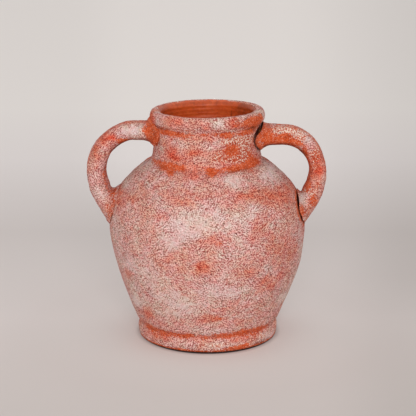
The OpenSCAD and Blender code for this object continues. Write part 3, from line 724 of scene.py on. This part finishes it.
def build_neck():
    cols = 400
    z = np.linspace(NECK_Z, RIM_Z, 98)
    section = [(float(neck_out(k)), float(k)) for k in z]
    n_out = len(section)
    section += [(TONGUE_OUT, RIM_Z), (TONGUE_OUT, RIM_Z + TONGUE_H), (TONGUE_IN, RIM_Z + TONGUE_H), (TONGUE_IN, RIM_Z), (MOUTH_R + 0.1, RIM_Z)]
    n_in = len(section)
    section += [(MOUTH_R, RIM_Z), (MOUTH_R, RIM_Z - 0.1)]
    section += [(MOUTH_R, float(k)) for k in np.linspace(RIM_Z - 0.7, NECK_Z - SPIGOT_H, 66)]
    n_end = len(section)
    section += [(SPIGOT_R, NECK_Z - SPIGOT_H), (SPIGOT_R, NECK_Z)]
    X, N = ring_grid(section, cols), outward(section, cols)
    rows = len(section)
    show = np.zeros(rows)
    show[:n_out] = (0.35 + 0.65 * ease(NECK_Z, NECK_Z + 3, z)) * (0.3 + 0.7 * ease(RIM_Z, RIM_Z - 2.5, z))
    show = show[:, None]
    pit = specks(X, 9.0, 0.18, 0.7, 1.3, 62) * (show > 0.6)
    d = hand(X, 2, 0.5, 0.34, 0.16) * show - 0.45 * pit - 2.0 * opened(X) * (show > 0.2)
    # the opened crack also takes the pit mark, which paints its shade dark
    pit = np.maximum(pit, opened(X))
    P = X + N * d[..., None]
    push_in(P, X, np.arange(n_in, n_end), inside_relief(X))
    inside = np.repeat(np.where((np.arange(rows) >= n_in) & (np.arange(rows) < n_end), 1.0, 0.0)[:, None], cols, 1)
    marks = body_marks(X) | {"inside": inside, "pit": pit}
    # the inside of the neck takes the painted shade of the mouth instead of the outside's marks
    marks["shade_and_stain"] = np.where(inside > 0.5, inside_shade(X), marks["shade_and_stain"])
    ob = grid_object("neck", lean(P), marks, True, 2, np.where(inside[:, 0] > 0, 0.8, 1.0))
    return settle(ob, "neck_collar", WASH)


def build_rim():
    cols = 440
    start = math.degrees(math.asin((RIM_Z - (TOP_Z - RIM_B)) / RIM_B))
    degrees = np.linspace(start, 180, 52)
    section = []
    for a in np.radians(degrees):
        c, s = math.cos(a), math.sin(a)
        if c < 0:  # the inner side is squarer than the outer one
            c, s = -abs(c) ** 0.72, abs(s) ** 0.72
        section.append((RIM_MID + (RIM_A if c > 0 else RIM_MID - LIP_R) * c, TOP_Z - RIM_B + RIM_B * s))
    n_out = len(section)
    section += line((LIP_R, TOP_Z - RIM_B), (MOUTH_R, RIM_Z + 0.1), 10)[1:] + [(MOUTH_R, RIM_Z + 0.1), (MOUTH_R, RIM_Z)]
    n_in = len(section)
    section += [(MOUTH_R + 0.1, RIM_Z), (TONGUE_IN, RIM_Z), (TONGUE_IN, RIM_Z + TONGUE_H), (TONGUE_OUT, RIM_Z + TONGUE_H), (TONGUE_OUT, RIM_Z)]
    X, N = ring_grid(section, cols), outward(section, cols)
    rows = len(section)
    degrees = np.concatenate([degrees, np.full(rows - n_out, 180.0)])
    show = (0.25 + 0.75 * ease(start, start + 25, degrees)) * ease(176, 140, degrees)
    show[n_out:] = 0
    show = show[:, None]
    pit = specks(X, 8.5, 0.18, 0.6, 1.1, 63) * (show > 0.6)
    d = hand(X, 3, 0.6, 0.42, 0.15) * show * (1 - 0.75 * ease(5, 35, X[..., 1])) - 0.4 * pit * (X[..., 1] < 20)
    P = X + N * d[..., None]
    inner = ease(150, 180, degrees)
    inner[n_in:] = 0
    inner[n_in] = 1
    relief = inside_relief(X) * inner[:, None]
    P[..., :2] -= X[..., :2] / np.linalg.norm(X[..., :2], axis=-1, keepdims=True) * relief[..., None]
    back = ease(-20, 25, X[..., 1])
    corner = np.exp(-(((X[..., 0] - 44) / 14) ** 2)) * back
    angle = degrees[:, None] + 14 * layers(X / 9, 47, 2)
    inside = ease(122, 146, angle + 36 * back * (1 - 0.8 * corner))
    inside[n_out:] = 1
    marks = body_marks(X) | {"inside": inside, "pit": pit}
    marks["bare"] = np.maximum(marks["bare"], 0.5 * ease(start + 30, start + 8, degrees)[:, None] * np.ones((1, cols)))
    # the back of the inner wall is darker just under the lip, and the rim's inside takes the painted shade of the mouth
    lip = 0.5 * back * np.exp(-(((degrees[:, None] - 142) / 48) ** 2))
    marks["shade_and_stain"] = np.where(inside > 0.5, np.maximum(inside_shade(X), lip), marks["shade_and_stain"])
    P[..., 2] -= 0.8 * ease(10, 40, X[..., 1]) * ease(50, 20, np.abs(X[..., 0] + 6)) * ease(90, 110, degrees)[:, None] * ease(181, 150, degrees)[:, None]
    ob = grid_object("rim", lean(P), marks, True, 3)
    return settle(ob, "rim_roll", WASH)


# ---------------------------------------------------------------- foot and floor


def build_foot():
    cols = 440
    a = np.radians(62 * np.sin(np.linspace(-math.pi / 2, math.pi / 2, 52)))
    section = [(FOOT_IN - 1.5 + (FOOT_R - FOOT_IN + 1.5) * math.cos(t), FOOT_H * (0.5 + 0.5 * math.sin(t) / math.sin(math.radians(62)))) for t in a]
    section = [(r + 1.5 * max(0.0, 1 - z / 6) ** 2 - 0.8 * max(0.0, 1 - z / 0.6) ** 2, z) for r, z in section]  # worn round at the bottom
    n_out = len(section)
    section += [(FLOOR_R + 5, FOOT_H), (FLOOR_R + 0.1, FOOT_H), (FLOOR_R + 0.1, FOOT_H * 0.6), (FLOOR_R + 0.1, LEDGE_H)]
    n_sock = len(section)
    section += line((LEDGE_R + 3, LEDGE_H), (LEDGE_R, LEDGE_H - 0.6), 3) + line((LEDGE_R, LEDGE_H - 0.6), (LEDGE_R, 0.9), 4) + [(LEDGE_R + 0.3, 0.25), (LEDGE_R + 1.2, 0.0)]
    section += line((LEDGE_R + 2.5, 0.0), (SEAT_R - 8.0, 0.0), 10)
    X, N = ring_grid(section, cols), outward(section, cols)
    rows = len(section)
    z = np.array([s[1] for s in section])
    show = np.zeros(rows)
    show[:n_out] = ease(0, 3.5, z[:n_out]) * (0.35 + 0.65 * ease(FOOT_H, FOOT_H - 2, z[:n_out]))
    show = show[:, None]
    pit = specks(X, 9.0, 0.18, 0.7, 1.3, 64) * (show > 0.6)
    d = hand(X, 4, 0.5, 0.42, 0.16) * show - 0.5 * pit
    under = np.zeros(rows)
    under[n_sock:] = 1
    d = d - under[:, None] * 0.18 * np.abs(layers(X / 7, 55, 2)) * (z < 0.5)[:, None]
    P = lean(X + N * d[..., None])
    P[..., 2] = np.maximum(P[..., 2], 0.0)
    inside = np.zeros((rows, cols))
    inside[n_out:] = 1
    ob = grid_object("foot", P, body_marks(X) | {"inside": inside, "pit": pit}, True, 3)
    return settle(ob, "foot_ring", WASH)


def build_floor_disc():
    """Slab in the foot: finger spiral on top, wire drag marks under it."""
    cols = 240
    out = np.concatenate([np.linspace(0.6, FLOOR_R - 2, 34), [FLOOR_R - 1.2, FLOOR_R - 0.5]])
    rings = [(r, LEDGE_H) for r in out] + [(FLOOR_R - 0.1, LEDGE_H + 0.3), (FLOOR_R - 0.1, LEDGE_H + FLOOR_T - 0.3)] + [(r, LEDGE_H + FLOOR_T) for r in out[::-1]]
    X = ring_grid(rings, cols)
    r = np.linalg.norm(X[..., :2], axis=-1)
    theta = np.arctan2(X[..., 1], X[..., 0])
    top = (np.arange(len(rings)) > len(out) + 1)[:, None]
    edge = ease(FLOOR_R - 1, FLOOR_R - 6, r)
    spiral = 0.55 * np.sin(2 * math.pi * r / 8.5 - theta) * ease(0, 10, r) + 0.25 * layers(X / 11, 50, 2)
    drag = 0.22 * np.sin((X[..., 1] + 0.004 * X[..., 0] ** 2) * 2 * math.pi / 3.6 + 2 * noise(X / 18, 51)) + 0.12 * layers(X / 6, 52, 2)
    P = X.copy()
    P[..., 2] += np.where(top, spiral * edge - 0.3, 0.3 + 0.6 * np.abs(drag) * edge)
    ob = grid_object("floor_disc", P, {}, False, 3)
    return settle(ob, "floor_slab", BARE)


build_belly()
build_neck()
build_rim()
build_foot()
build_floor_disc()

# ---------------------------------------------------------------- slip in the round joints


def bead_object(name, node, curve, hidden):
    """A bead of slip: curve and hidden give (r, z) rows, each an array over the angles."""
    cols = 400
    t = np.arange(cols) * 2 * math.pi / cols - math.pi / 2
    ring = np.stack([np.cos(t), np.sin(t)], -1)
    rows = list(curve(ring)) + list(hidden(ring))
    P = np.stack([np.stack([r * ring[:, 0], r * ring[:, 1], z], -1) for r, z in rows])
    zero = np.zeros(P.shape[:2])
    ob = grid_object(name, lean(P), body_marks(P) | {"inside": zero, "pit": zero}, True, 4)
    return settle(ob, node, WASH)


def bend(a, b, c, n):
    """n rows along a quadratic curve from a past b to c, each an (r, z) pair of arrays."""
    for k in np.linspace(0, 1, n):
        yield tuple(p * (1 - k) ** 2 + 2 * q * k * (1 - k) + s * k * k for p, q, s in zip(a, b, c))


def at(ring, scale, seed, octaves=2):
    p = np.stack([ring[:, 0] * scale, ring[:, 1] * scale, np.zeros(len(ring))], -1)
    return layers(p, seed, octaves)


def neck_bead(ring):
    low = NECK_Z - 0.7 + 0.7 * at(ring, 6, 80)
    high = NECK_Z + 3.4 + 1.3 * at(ring, 5, 82) + 0.5 * at(ring, 20, 83)
    fat = 0.35 + 0.35 * at(ring, 9, 84)
    a = (belly_out(low) + 0.25, low)
    c = (neck_out(high) + 0.1, high)
    b = (neck_out(NECK_Z + 0.8) + 0.5 + fat, NECK_Z + 0.9 + fat)
    return bend(a, b, c, 12)


def neck_bead_back(ring):
    one = np.ones(len(ring))
    return [((NECK_R - 1.0) * one, (NECK_Z + 2.5) * one), ((NECK_R + 2.0) * one, (NECK_Z + 0.6) * one), ((NECK_R + 6.0) * one, (NECK_Z - 2.2) * one)]


def rim_bead(ring):
    low = RIM_Z - 2.3 + 0.7 * at(ring, 7, 85) + 0.3 * at(ring, 22, 86)
    a = (neck_out(low) + 0.1, low)
    c = (rim_out(RIM_Z + 0.8) * np.ones(len(ring)) + 0.05, (RIM_Z + 0.8) * np.ones(len(ring)))
    b = (neck_out(RIM_Z - 0.6) + 0.3 + 0.25 * at(ring, 9, 87), RIM_Z - 0.5 + 0 * low)
    return bend(a, b, c, 9)


def rim_bead_back(ring):
    one = np.ones(len(ring))
    return [((TONGUE_OUT + 0.6) * one, (RIM_Z + 1.2) * one), ((TONGUE_OUT + 0.4) * one, (RIM_Z - 1.8) * one)]


def foot_bead(ring):
    low = FOOT_H - 1.0 + 0.35 * at(ring, 8, 88)
    high = FOOT_H + 2.0 + 0.7 * at(ring, 6, 89)
    roll = FOOT_IN - 1.5 + (FOOT_R - FOOT_IN + 1.5) * np.cos(np.arcsin(np.clip((low / FOOT_H - 0.5) * 2 * math.sin(math.radians(62)), -1, 1)))
    a = (roll + 0.15, low)
    c = (belly_out(high) - (belly_out(FOOT_H) - SEAT_R) * np.exp(-(((high - FOOT_H) / 2.0) ** 1.3)) + 0.15, high)
    b = (SEAT_R + 0.9 + 0.25 * at(ring, 10, 90), FOOT_H + 0.3 + 0 * low)
    return bend(a, b, c, 9)


def foot_bead_back(ring):
    one = np.ones(len(ring))
    return [((SEAT_R - 1.6) * one, (FOOT_H + 1.4) * one), ((SEAT_R - 1.6) * one, (FOOT_H - 0.8) * one)]


bead_object("neck_bead", "neck_joint_slip", neck_bead, neck_bead_back)
bead_object("rim_bead", "rim_joint_slip", rim_bead, rim_bead_back)
bead_object("foot_bead", "foot_joint_slip", foot_bead, foot_bead_back)

# ---------------------------------------------------------------- pulled handles and their joints

AROUND = 120
TURN = np.arange(AROUND) * 2 * math.pi / AROUND


def route_at(route, u):
    p = np.array(route, float)
    i = np.minimum(np.floor(u).astype(int), len(p) - 2)
    t = (u - i)[:, None]
    p0, p1, p2, p3 = p[np.maximum(i - 1, 0)], p[i], p[i + 1], p[np.minimum(i + 2, len(p) - 1)]
    return 0.5 * (2 * p1 + (p2 - p0) * t + (2 * p0 - 5 * p1 + 4 * p2 - p3) * t**2 + (3 * p1 - p0 - 3 * p2 + p3) * t**3)


def headings(route, u):
    end = len(route) - 1
    d = route_at(route, np.minimum(u + 0.05, end)) - route_at(route, np.maximum(u - 0.05, 0))
    d = d[:, :2]
    return d / np.linalg.norm(d, axis=1, keepdims=True)


def soft_square(a, power=2.2):
    c, s = np.cos(a), np.sin(a)
    return np.sign(c) * np.abs(c) ** (2 / power), np.sign(s) * np.abs(s) ** (2 / power)


def tube(route, u):
    c, d = route_at(route, u), headings(route, u)
    depth = GRIP_D * (1 + END_SPREAD * np.abs(2 * u / (len(route) - 1) - 1) ** 4)
    k, s = soft_square(TURN)
    x = c[:, :1] - d[:, 1:] * c[:, 2:] * k
    z = c[:, 1:2] + d[:, :1] * c[:, 2:] * k
    return np.stack([x, depth[:, None] * s[None], z], -1)


def on_wall(end, share, way, gap):
    """A ring on the wall: share of the joint's outline, lifted off it by a gap (a number, or a rule on y and z)."""
    zc, hz, hy, yc = end
    y = yc + hy * share * np.sin(TURN)
    z = zc + way * hz * share * np.cos(TURN)
    lift_by = gap(y, z) if callable(gap) else gap
    return np.stack([np.sqrt(body_out(z) ** 2 - y**2) + lift_by, y, z], -1)


def curve4(a, b, c, d, u):
    return a * (1 - u) ** 3 + 3 * b * u * (1 - u) ** 2 + 3 * c * u * u * (1 - u) + d * u**3


def reach_out(route):
    u = np.linspace(0, len(route) - 1, 61)
    c, d = route_at(route, u), headings(route, u)
    far = (c[:, 0] + c[:, 2] * np.abs(d[:, 1])).max()
    return [(x + REACH - far, z, t) for x, z, t in route]


def handle_grid(drawn, up, lo, gap_up, gap_lo):
    """Rings of a handle drawn on +X, from the neck to the belly, and each row's place: 0 on the wall, 1 on the grip."""
    route = reach_out(drawn)
    end = len(route) - 1
    body = tube(route, np.linspace(0, end, 170))
    d = headings(route, np.array([0.0, float(end)]))
    first, last = body[0], body[-1]

    def flare(ring, go, joint, way, gap, t):
        off = (lambda y, z: gap(y, z) + 3.5) if callable(gap) else gap + 3.5
        return curve4(ring, ring + np.array([go[0], 0, go[1]]) * 7, on_wall(joint, 0.82, way, off), on_wall(joint, 1, way, gap), t)

    ts = np.linspace(1, 0, 31)[:-1]
    caps = (0.06, 0.3, 0.55, 0.75, 0.9, 0.97)
    rows = [on_wall(up, k, 1, gap_up) for k in caps]
    place = [0.0] * 6
    rows += [flare(first, -d[0], up, 1, gap_up, t) for t in ts]
    place += list(1 - ts)
    rows += list(body)
    place += [1.0] * len(body)
    rows += [flare(last, d[1], lo, -1, gap_lo, t) for t in ts[::-1]]
    place += list(1 - ts[::-1])
    rows += [on_wall(lo, k, -1, gap_lo) for k in caps[::-1]]
    place += [0.0] * 6
    return np.stack(rows), np.array(place)


def handle_marks(X, whites, bares, spots, stains, seed):
    return {
        "cover": patches(X, whites, seed + 20) + 0.55 * cloudy(X, seed + 21),
        "coarse": patches(X, COARSE, seed + 29),
        "bare": np.clip(patches(X, bares, seed + 24, 0.6), 0, 1.1),
        "spatter": np.clip(patches(X, spots, seed + 26) + ease(-16, 16, X[..., 1]) * ease(0.1, 0.5, layers(X / 22, seed + 27, 2)), 0, 1),
    }


def work_handle(name, node, side, drawn, up, lo, gap_up, gap_lo, lists, seed, under, lower):
    P, place = handle_grid(drawn, up, lo, gap_up, gap_lo)
    n = grid_normals(P, False)
    if ((P - P.mean(1, keepdims=True)) * n).sum() < 0:
        n = -n
    X, n = P * np.array([side, 1, 1]), n * np.array([side, 1, 1])
    rows = len(P)
    show = np.ones(rows)
    show[:6] = show[-6:] = 0
    show = (show * (0.35 + 0.65 * ease(0, 0.35, place)))[:, None]
    pit = specks(X, 8.5, 0.18, 0.6, 1.1, seed + 3) * (show > 0.6)
    way = np.linspace(0, 1, rows)[:, None] * np.ones((1, AROUND))
    flute = np.stack([way * 3.0, 2.2 * np.cos(TURN) + 0 * way, 2.2 * np.sin(TURN) + 0 * way], -1)
    d = (hand(X, seed, 0.75, 0.45, 0.16) + 0.45 * noise(flute, seed + 6)) * show - 0.45 * pit - 0.5 * show
    marks = handle_marks(X, *lists, seed)
    ragged = layers(X / 8, seed + 22, 2)
    below = ease(-0.35 if side > 0 else -0.6, -0.95, np.cos(TURN)[None] + 0.55 * ragged) * under
    above = 0.5 * ease(0.72, 1.02, np.cos(TURN)[None] + 0.3 * ragged)
    slant = np.where((np.arange(rows) < rows / 2) & (side < 0), 0.2, 0.0)[:, None] * np.cos(TURN)[None]
    ends = ease(0.50, 0.18, place[:, None] - slant + 0.34 * ragged) * np.where(np.arange(rows) < rows / 2, 1.0, lower)[:, None]
    marks["bare"] = np.clip(np.maximum(np.maximum(marks["bare"], np.maximum(below, above)), ends * (0.8 if side > 0 else 1.0)), 0, 1.1)
    marks["bare"] *= 1 - np.clip(patches(X, KEPT, seed + 30, 0.6), 0, 1)
    marks["bare"][place == 0] = 1.1
    # painted shade where the handle's ends meet the wall, stronger at the upper end
    root_shade = np.where(np.arange(rows) < rows / 2, 0.5, 0.08)[:, None]
    marks["shade_and_stain"] = np.clip(root_shade * ease(0.24, 0.04, place[:, None] + 0.1 * ragged) + patches(X, lists[3], seed + 28, 0.6), 0, 1)
    # painted shade on the side of the handle that faces its opening, mostly on the upper arch
    edge = ease(-0.35, -0.85, np.cos(TURN))[None] * np.where(np.arange(rows) < rows / 2, 0.8, 0.12)[:, None] * ease(0.1, 0.4, place)[:, None]
    marks["shade_and_stain"] = np.maximum(marks["shade_and_stain"], edge * (0.8 + 0.4 * ragged))
    # the ends against the wall are painted dark, as shade
    marks["shade_and_stain"][place == 0] = 1.0
    # the right handle's ends, seen through its opened joints, are painted dark as their shade
    if side > 0:
        pit[place == 0] = 0.9
    ob = grid_object(name, lean(X + n * d[..., None]), marks | {"inside": 0 * d, "pit": pit}, False, 3)
    return settle(ob, node, WASH)


LEFT_GAP = 0.8
KEPT = [(98.5, 150, 5, 6.5, 0.95), (101.5, 129, 4.5, 4.5, 0.6)]  # wash left near the right handle's lower end


def crack_up(y, z):
    rag = 0.35 * noise(np.stack([y / 5, z / 4, 0 * z], -1), 91) + 0.25 * noise(np.stack([y / 3, z / 1.8, 0 * z], -1), 93)
    wide = 2.8 * np.exp(-(((z - 221) / 4.8) ** 2)) + 0.7 * np.exp(-(((z - 203.5) / 2.2) ** 2))
    return 0.6 + (0.5 + rag) * ease(3, 14, np.abs(y)) + wide * ease(6, -12, y)


def crack_low(y, z):
    rag = 0.3 * noise(np.stack([y / 5, z / 4, 0 * z], -1), 92) + 0.2 * noise(np.stack([y / 3, z / 1.8, 0 * z], -1), 94)
    wide = 1.0 * np.exp(-(((z - 148.5) / 4.0) ** 2)) + 0.9 * np.exp(-(((z - 133) / 1.8) ** 2))
    return 0.45 + (0.35 + rag + wide) * ease(5, 16, np.abs(y))


# Each side's lists: whiter wash, bare clay, spatter, and darker patches; the darker patches are partly painted shade at
# the joints and along the arch and partly darker clay.
LEFT_LISTS = (
    [
        (-74, 221, 13, 6.5, 0.6), (-92, 215, 6, 5, 0.15), (-107, 198, 6, 4, 0.1), (-110, 152, 8, 6, 0.2), (-114, 170, 8, 20, 0.18), (-101, 143, 6, 4, 0.05),
        (-100, 209, 10, 6, -0.22), (-100, 214, 8, 4.5, -0.65), (-115, 200, 7, 9, -0.45), (-117, 184, 5, 9, -0.1), (-103, 139, 5, 6, -0.3), (-109, 210, 6, 6, -0.3),
    ],
    [
        (-58, 217, 5.2, 13, 1.3), (-65, 222, 3.5, 4, 0.6), (-87, 208, 6.5, 3.2, 0.9), (-83, 206.5, 7, 4, 1.1), (-97, 156, 4.0, 5, 0.8), (-108, 210, 7, 2.6, 0.4), (-115, 201, 3.0, 7, 0.5),
        (-96, 146, 3.5, 6, 0.65), (-104, 172, 2.0, 10, 0.15), (-100, 133, 3, 4, 0.4),
    ],
    [(-99, 206, 8, 6, 0.35), (-102, 140, 7, 9, 0.6), (-97, 128, 6, 7, 0.6)],
    [(-56, 218, 6, 11, 0.4), (-78, 209, 12, 3, 0.55), (-92, 203, 10, 3, 0.35), (-117, 196, 2.6, 12, 0.35), (-110, 210, 6, 3.0, 0.35), (-97, 130, 3, 6, 0.4)],
)
RIGHT_LISTS = (
    [
        (84, 219, 13, 4, 0.4), (101, 129, 5, 5, 0.45), (101, 156, 4, 5, 0.25), (120, 172, 4, 9, 0.25), (97, 213, 7, 4, 0.35), (102, 208, 6, 4.5, 0.4), (111, 197, 5, 5, 0.05), (114, 178, 10, 24, -0.45), (99, 149, 5, 5.5, 0.5), (110, 156, 6, 5, 0.1),
        (113, 190, 5, 4, -0.3), (116, 176, 6, 5, -0.3),
    ],
    [
        (61, 212, 9, 15, 1.0), (77, 209, 10, 5.4, 1.1), (88, 206, 11, 5.2, 1.05), (100, 197, 4, 6, 0.85), (100.5, 188, 3.5, 7, 0.95), (102, 184, 4, 8, 0.6), (80, 211, 7, 4, 0.8), (80, 214, 7, 3, 0.5), (114, 183, 4, 2.6, 0.5), (107, 171, 5, 7, 0.5), (104, 161, 4, 6, 0.75),
        (110, 146, 6, 7, 0.8), (104, 135, 6, 5, 0.15), (119, 172, 3, 8, 0.15),
    ],
    [(82, 219, 14, 4, 1.0), (68, 219, 8, 4.5, 0.8), (97, 212, 7, 5, 0.8), (112, 193, 7, 9, 1.0), (112, 179, 7, 4, 0.5), (116, 163, 5, 5, 0.6), (109, 155, 7, 6, 0.7), (103, 134, 5, 5, 0.5)],
    [(66, 203, 8, 3, 0.35), (100, 140, 3, 5, 0.3)],
)

work_handle("handle_left", "left_handle", -1, LEFT_ROUTE, LEFT_UPPER, LEFT_LOWER, LEFT_GAP, LEFT_GAP, LEFT_LISTS, 100, 0.5, 0.15)
work_handle("handle_right", "right_handle", 1, RIGHT_ROUTE, RIGHT_UPPER, RIGHT_LOWER, crack_up, crack_low, RIGHT_LISTS, 140, 0.9, 1.0)


def smeared_clay(name, node, side, end, way, seed, bare, crease):
    """Clay pad between a handle's end and the wall, with the collar that was smeared over the seam."""
    rag = layers(np.stack([2.4 * np.cos(TURN), 2.4 * np.sin(TURN), np.full(AROUND, seed * 1.7)], -1), seed, 2)
    spread = 1.09 + 0.06 * rag
    one = np.ones(AROUND)

    def skirt(share, off):
        return on_wall(end, share, way, off)

    rows = [skirt(k * one, 0.06) for k in (0.05, 0.3, 0.55, 0.78)]
    rows += [skirt(spread - 0.04, -0.6)]
    rows += [curve4(skirt(spread, 0.05), skirt(spread - 0.04, 0.8 + 0.3 * rag), skirt(0.97 + 0.02 * rag, 2.0 + 0.3 * rag), skirt(0.88 + 0.02 * rag, 3.4 + 0.4 * rag), t) for t in np.linspace(0, 1, 9)]
    rows += [skirt(0.82 * one, 1.6)]
    rows += [skirt(k * one, LEFT_GAP - 0.06) for k in (0.78, 0.55, 0.3, 0.05)]
    P = np.stack(rows) * np.array([side, 1, 1])
    d = 0.18 * layers(P / 5, seed + 3, 2)
    d[:5] = d[-5:] = 0
    marks = handle_marks(P, *LEFT_LISTS, 100)
    marks["bare"] = np.clip(np.maximum(marks["bare"], bare + 0.4 * layers(P / 7, seed + 5, 2)), 0, 1.1)
    zero = np.zeros(P.shape[:2])
    # painted shade in the crease of the seam, with the darker patches of the left handle
    marks["shade_and_stain"] = crease * (0.6 + 0.4 * layers(P / 6, seed + 7, 2)) * np.exp(-(((np.arange(len(P)) - 5.5) / 2.2) ** 2))[:, None]
    marks["shade_and_stain"] = np.clip(marks["shade_and_stain"] + patches(P, LEFT_LISTS[3], 128, 0.6), 0, 1)
    ob = grid_object(name, lean(P + grid_normals(P, False) * d[..., None]), marks | {"inside": zero, "pit": zero}, False, 2)
    return settle(ob, node, WASH)


def cracked_clay(name, node, end, way, gap, seed):
    """What is left of the clay in a joint that has opened: a torn lump that still bridges the crack."""
    rag = layers(np.stack([2.8 * np.cos(TURN), 2.8 * np.sin(TURN), np.full(AROUND, seed * 1.3)], -1), seed, 3)
    fill = 0.56 + 0.12 * rag
    ks = (0.06, 0.35, 0.65, 0.88, 1.0)
    near = [on_wall(end, k * fill, way, -1.8) for k in ks]
    far = [on_wall(end, k * fill, way, lambda y, z: gap(y, z) - 0.05) for k in ks]
    mids = [near[-1] * (1 - t) + far[-1] * t for t in (0.25, 0.5, 0.75)]
    ob = grid_object(name, lean(np.stack(near + mids + far[::-1])), {}, False, 2)
    return settle(ob, node, CRACK_CLAY)


smeared_clay("clay_left_upper", "left_upper_joint_clay", -1, LEFT_UPPER, 1, 180, 1.1, 0.1)
smeared_clay("clay_left_lower", "left_lower_joint_clay", -1, LEFT_LOWER, -1, 190, 0.3, 0.8)
cracked_clay("clay_right_upper", "right_upper_joint_clay", RIGHT_UPPER, 1, crack_up, 200)
cracked_clay("clay_right_lower", "right_lower_joint_clay", RIGHT_LOWER, -1, crack_low, 210)

# ---------------------------------------------------------------- floor, light, camera

floor = bpy.data.meshes.new("floor")
floor.from_pydata([(-9, -6, 0), (9, -6, 0), (9, 12, 0), (-9, 12, 0)], [], [(0, 1, 2, 3)])
floor_ob = bpy.data.objects.new("floor", floor)
bpy.context.scene.collection.objects.link(floor_ob)
n = Nodes("floor_paper")
split = n.add("ShaderNodeSeparateXYZ")
n.put(split.inputs[0], n.add("ShaderNodeTexCoord").outputs["Object"])
# Painted light and shade on the paper: its tint changes with distance for the fall of light, it is darker towards the
# right for a soft shadow, and a painted pool of light lies behind the pot.
shade = n.range(split.outputs[1], -1.0, 3.0, 0.0, 1.0, False)
tint = n.ramp(shade, [(0.18, srgb(207, 199, 195)), (0.26, srgb(223, 215, 212)), (0.35, srgb(213, 205, 202)), (0.465, srgb(234, 227, 225)), (0.58, srgb(241, 235, 231)), (1.0, srgb(241, 235, 231))])
turn = n.math("DIVIDE", split.outputs[0], n.math("ADD", split.outputs[1], 1.5))
near = n.range(split.outputs[1], -0.9, -0.5)
side = n.math("MULTIPLY", n.range(turn, 0.072, 0.15, 0.0, 1.0), near)
dim = n.ramp(shade, [(0.25, (0.89, 0.89, 0.885, 1)), (0.3, (0.82, 0.815, 0.81, 1)), (0.5, (0.9, 0.9, 0.9, 1))])
tint = n.mix(side, tint, n.mix(1.0, tint, dim, "MULTIPLY"))
glow = n.math("MULTIPLY", n.range(n.math("ABSOLUTE", turn), 0.045, 0.1, 1.0, 0.0), n.range(shade, 0.36, 0.43))
tint = n.mix(n.math("MULTIPLY", glow, n.range(shade, 0.46, 0.56, 1.0, 0.5)), tint, n.mix(1.0, tint, (1.1, 1.1, 1.1, 1), "MULTIPLY"))
# painted light and shade from the pot: paper painted lighter round it, and a painted contact shadow where the foot
# stands
reach = n.math("SQRT", n.math("ADD", n.math("POWER", split.outputs[0], 2.0), n.math("POWER", split.outputs[1], 2.0)))
tint = n.mix(n.range(reach, 0.075, 0.2, 1.0, 0.0), tint, n.mix(1.0, tint, (1.07, 1.12, 1.125, 1), "MULTIPLY"))
foot_x, foot_y = n.math("MULTIPLY_ADD", split.outputs[0], 1.02, -0.001), n.math("MULTIPLY", split.outputs[1], 0.958)
edge = n.math("SQRT", n.math("ADD", n.math("POWER", foot_x, 2.0), n.math("POWER", foot_y, 2.0)))
tint = n.mix(n.range(edge, 0.073, 0.08, 0.3, 0.0), tint, srgb(60, 44, 38))
tint = n.mix(n.range(edge, 0.0716, 0.0742, 0.95, 0.0), tint, srgb(38, 22, 18))
bsdf = n.add("ShaderNodeBsdfPrincipled")
n.put(bsdf.inputs["Base Color"], tint)
bsdf.inputs["Roughness"].default_value = 0.9
bsdf.inputs["Specular IOR Level"].default_value = 0.1
out = n.add("ShaderNodeOutputMaterial")
n.t.links.new(bsdf.outputs[0], out.inputs[0])
floor.materials.append(n.mat)


def aim(ob, target):
    ob.rotation_euler = (Vector(target) - ob.location).to_track_quat("-Z", "Y").to_euler()


def soft_light(name, place, size, watts, colour, target=(0, 0, 0.12)):
    lamp = bpy.data.lights.new(name, "AREA")
    lamp.shape = "DISK"
    lamp.size = size
    lamp.energy = watts
    lamp.color = colour
    ob = bpy.data.objects.new(name, lamp)
    bpy.context.scene.collection.objects.link(ob)
    ob.location = place
    aim(ob, target)
    return ob


soft_light("key", (0.12, -2.6, 0.7), 1.3, 34, (1.0, 0.99, 0.985))

world = bpy.data.worlds.new("studio")
bpy.context.scene.world = world
world.use_nodes = True
world.node_tree.nodes["Background"].inputs[0].default_value = (1.0, 0.99, 0.982, 1)
world.node_tree.nodes["Background"].inputs[1].default_value = 0.75

camera = bpy.data.cameras.new("camera")
camera.sensor_width = 36
camera.lens = 127.8
camera.clip_end = 100
camera_ob = bpy.data.objects.new("camera", camera)
bpy.context.scene.collection.objects.link(camera_ob)
camera_ob.location = (0.00115, -1.5, 0.5122)
aim(camera_ob, (0.00115, 0, 0.1342))
bpy.context.scene.camera = camera_ob
bpy.context.scene.view_settings.view_transform = "Standard"
bpy.context.scene.view_settings.look = "None"
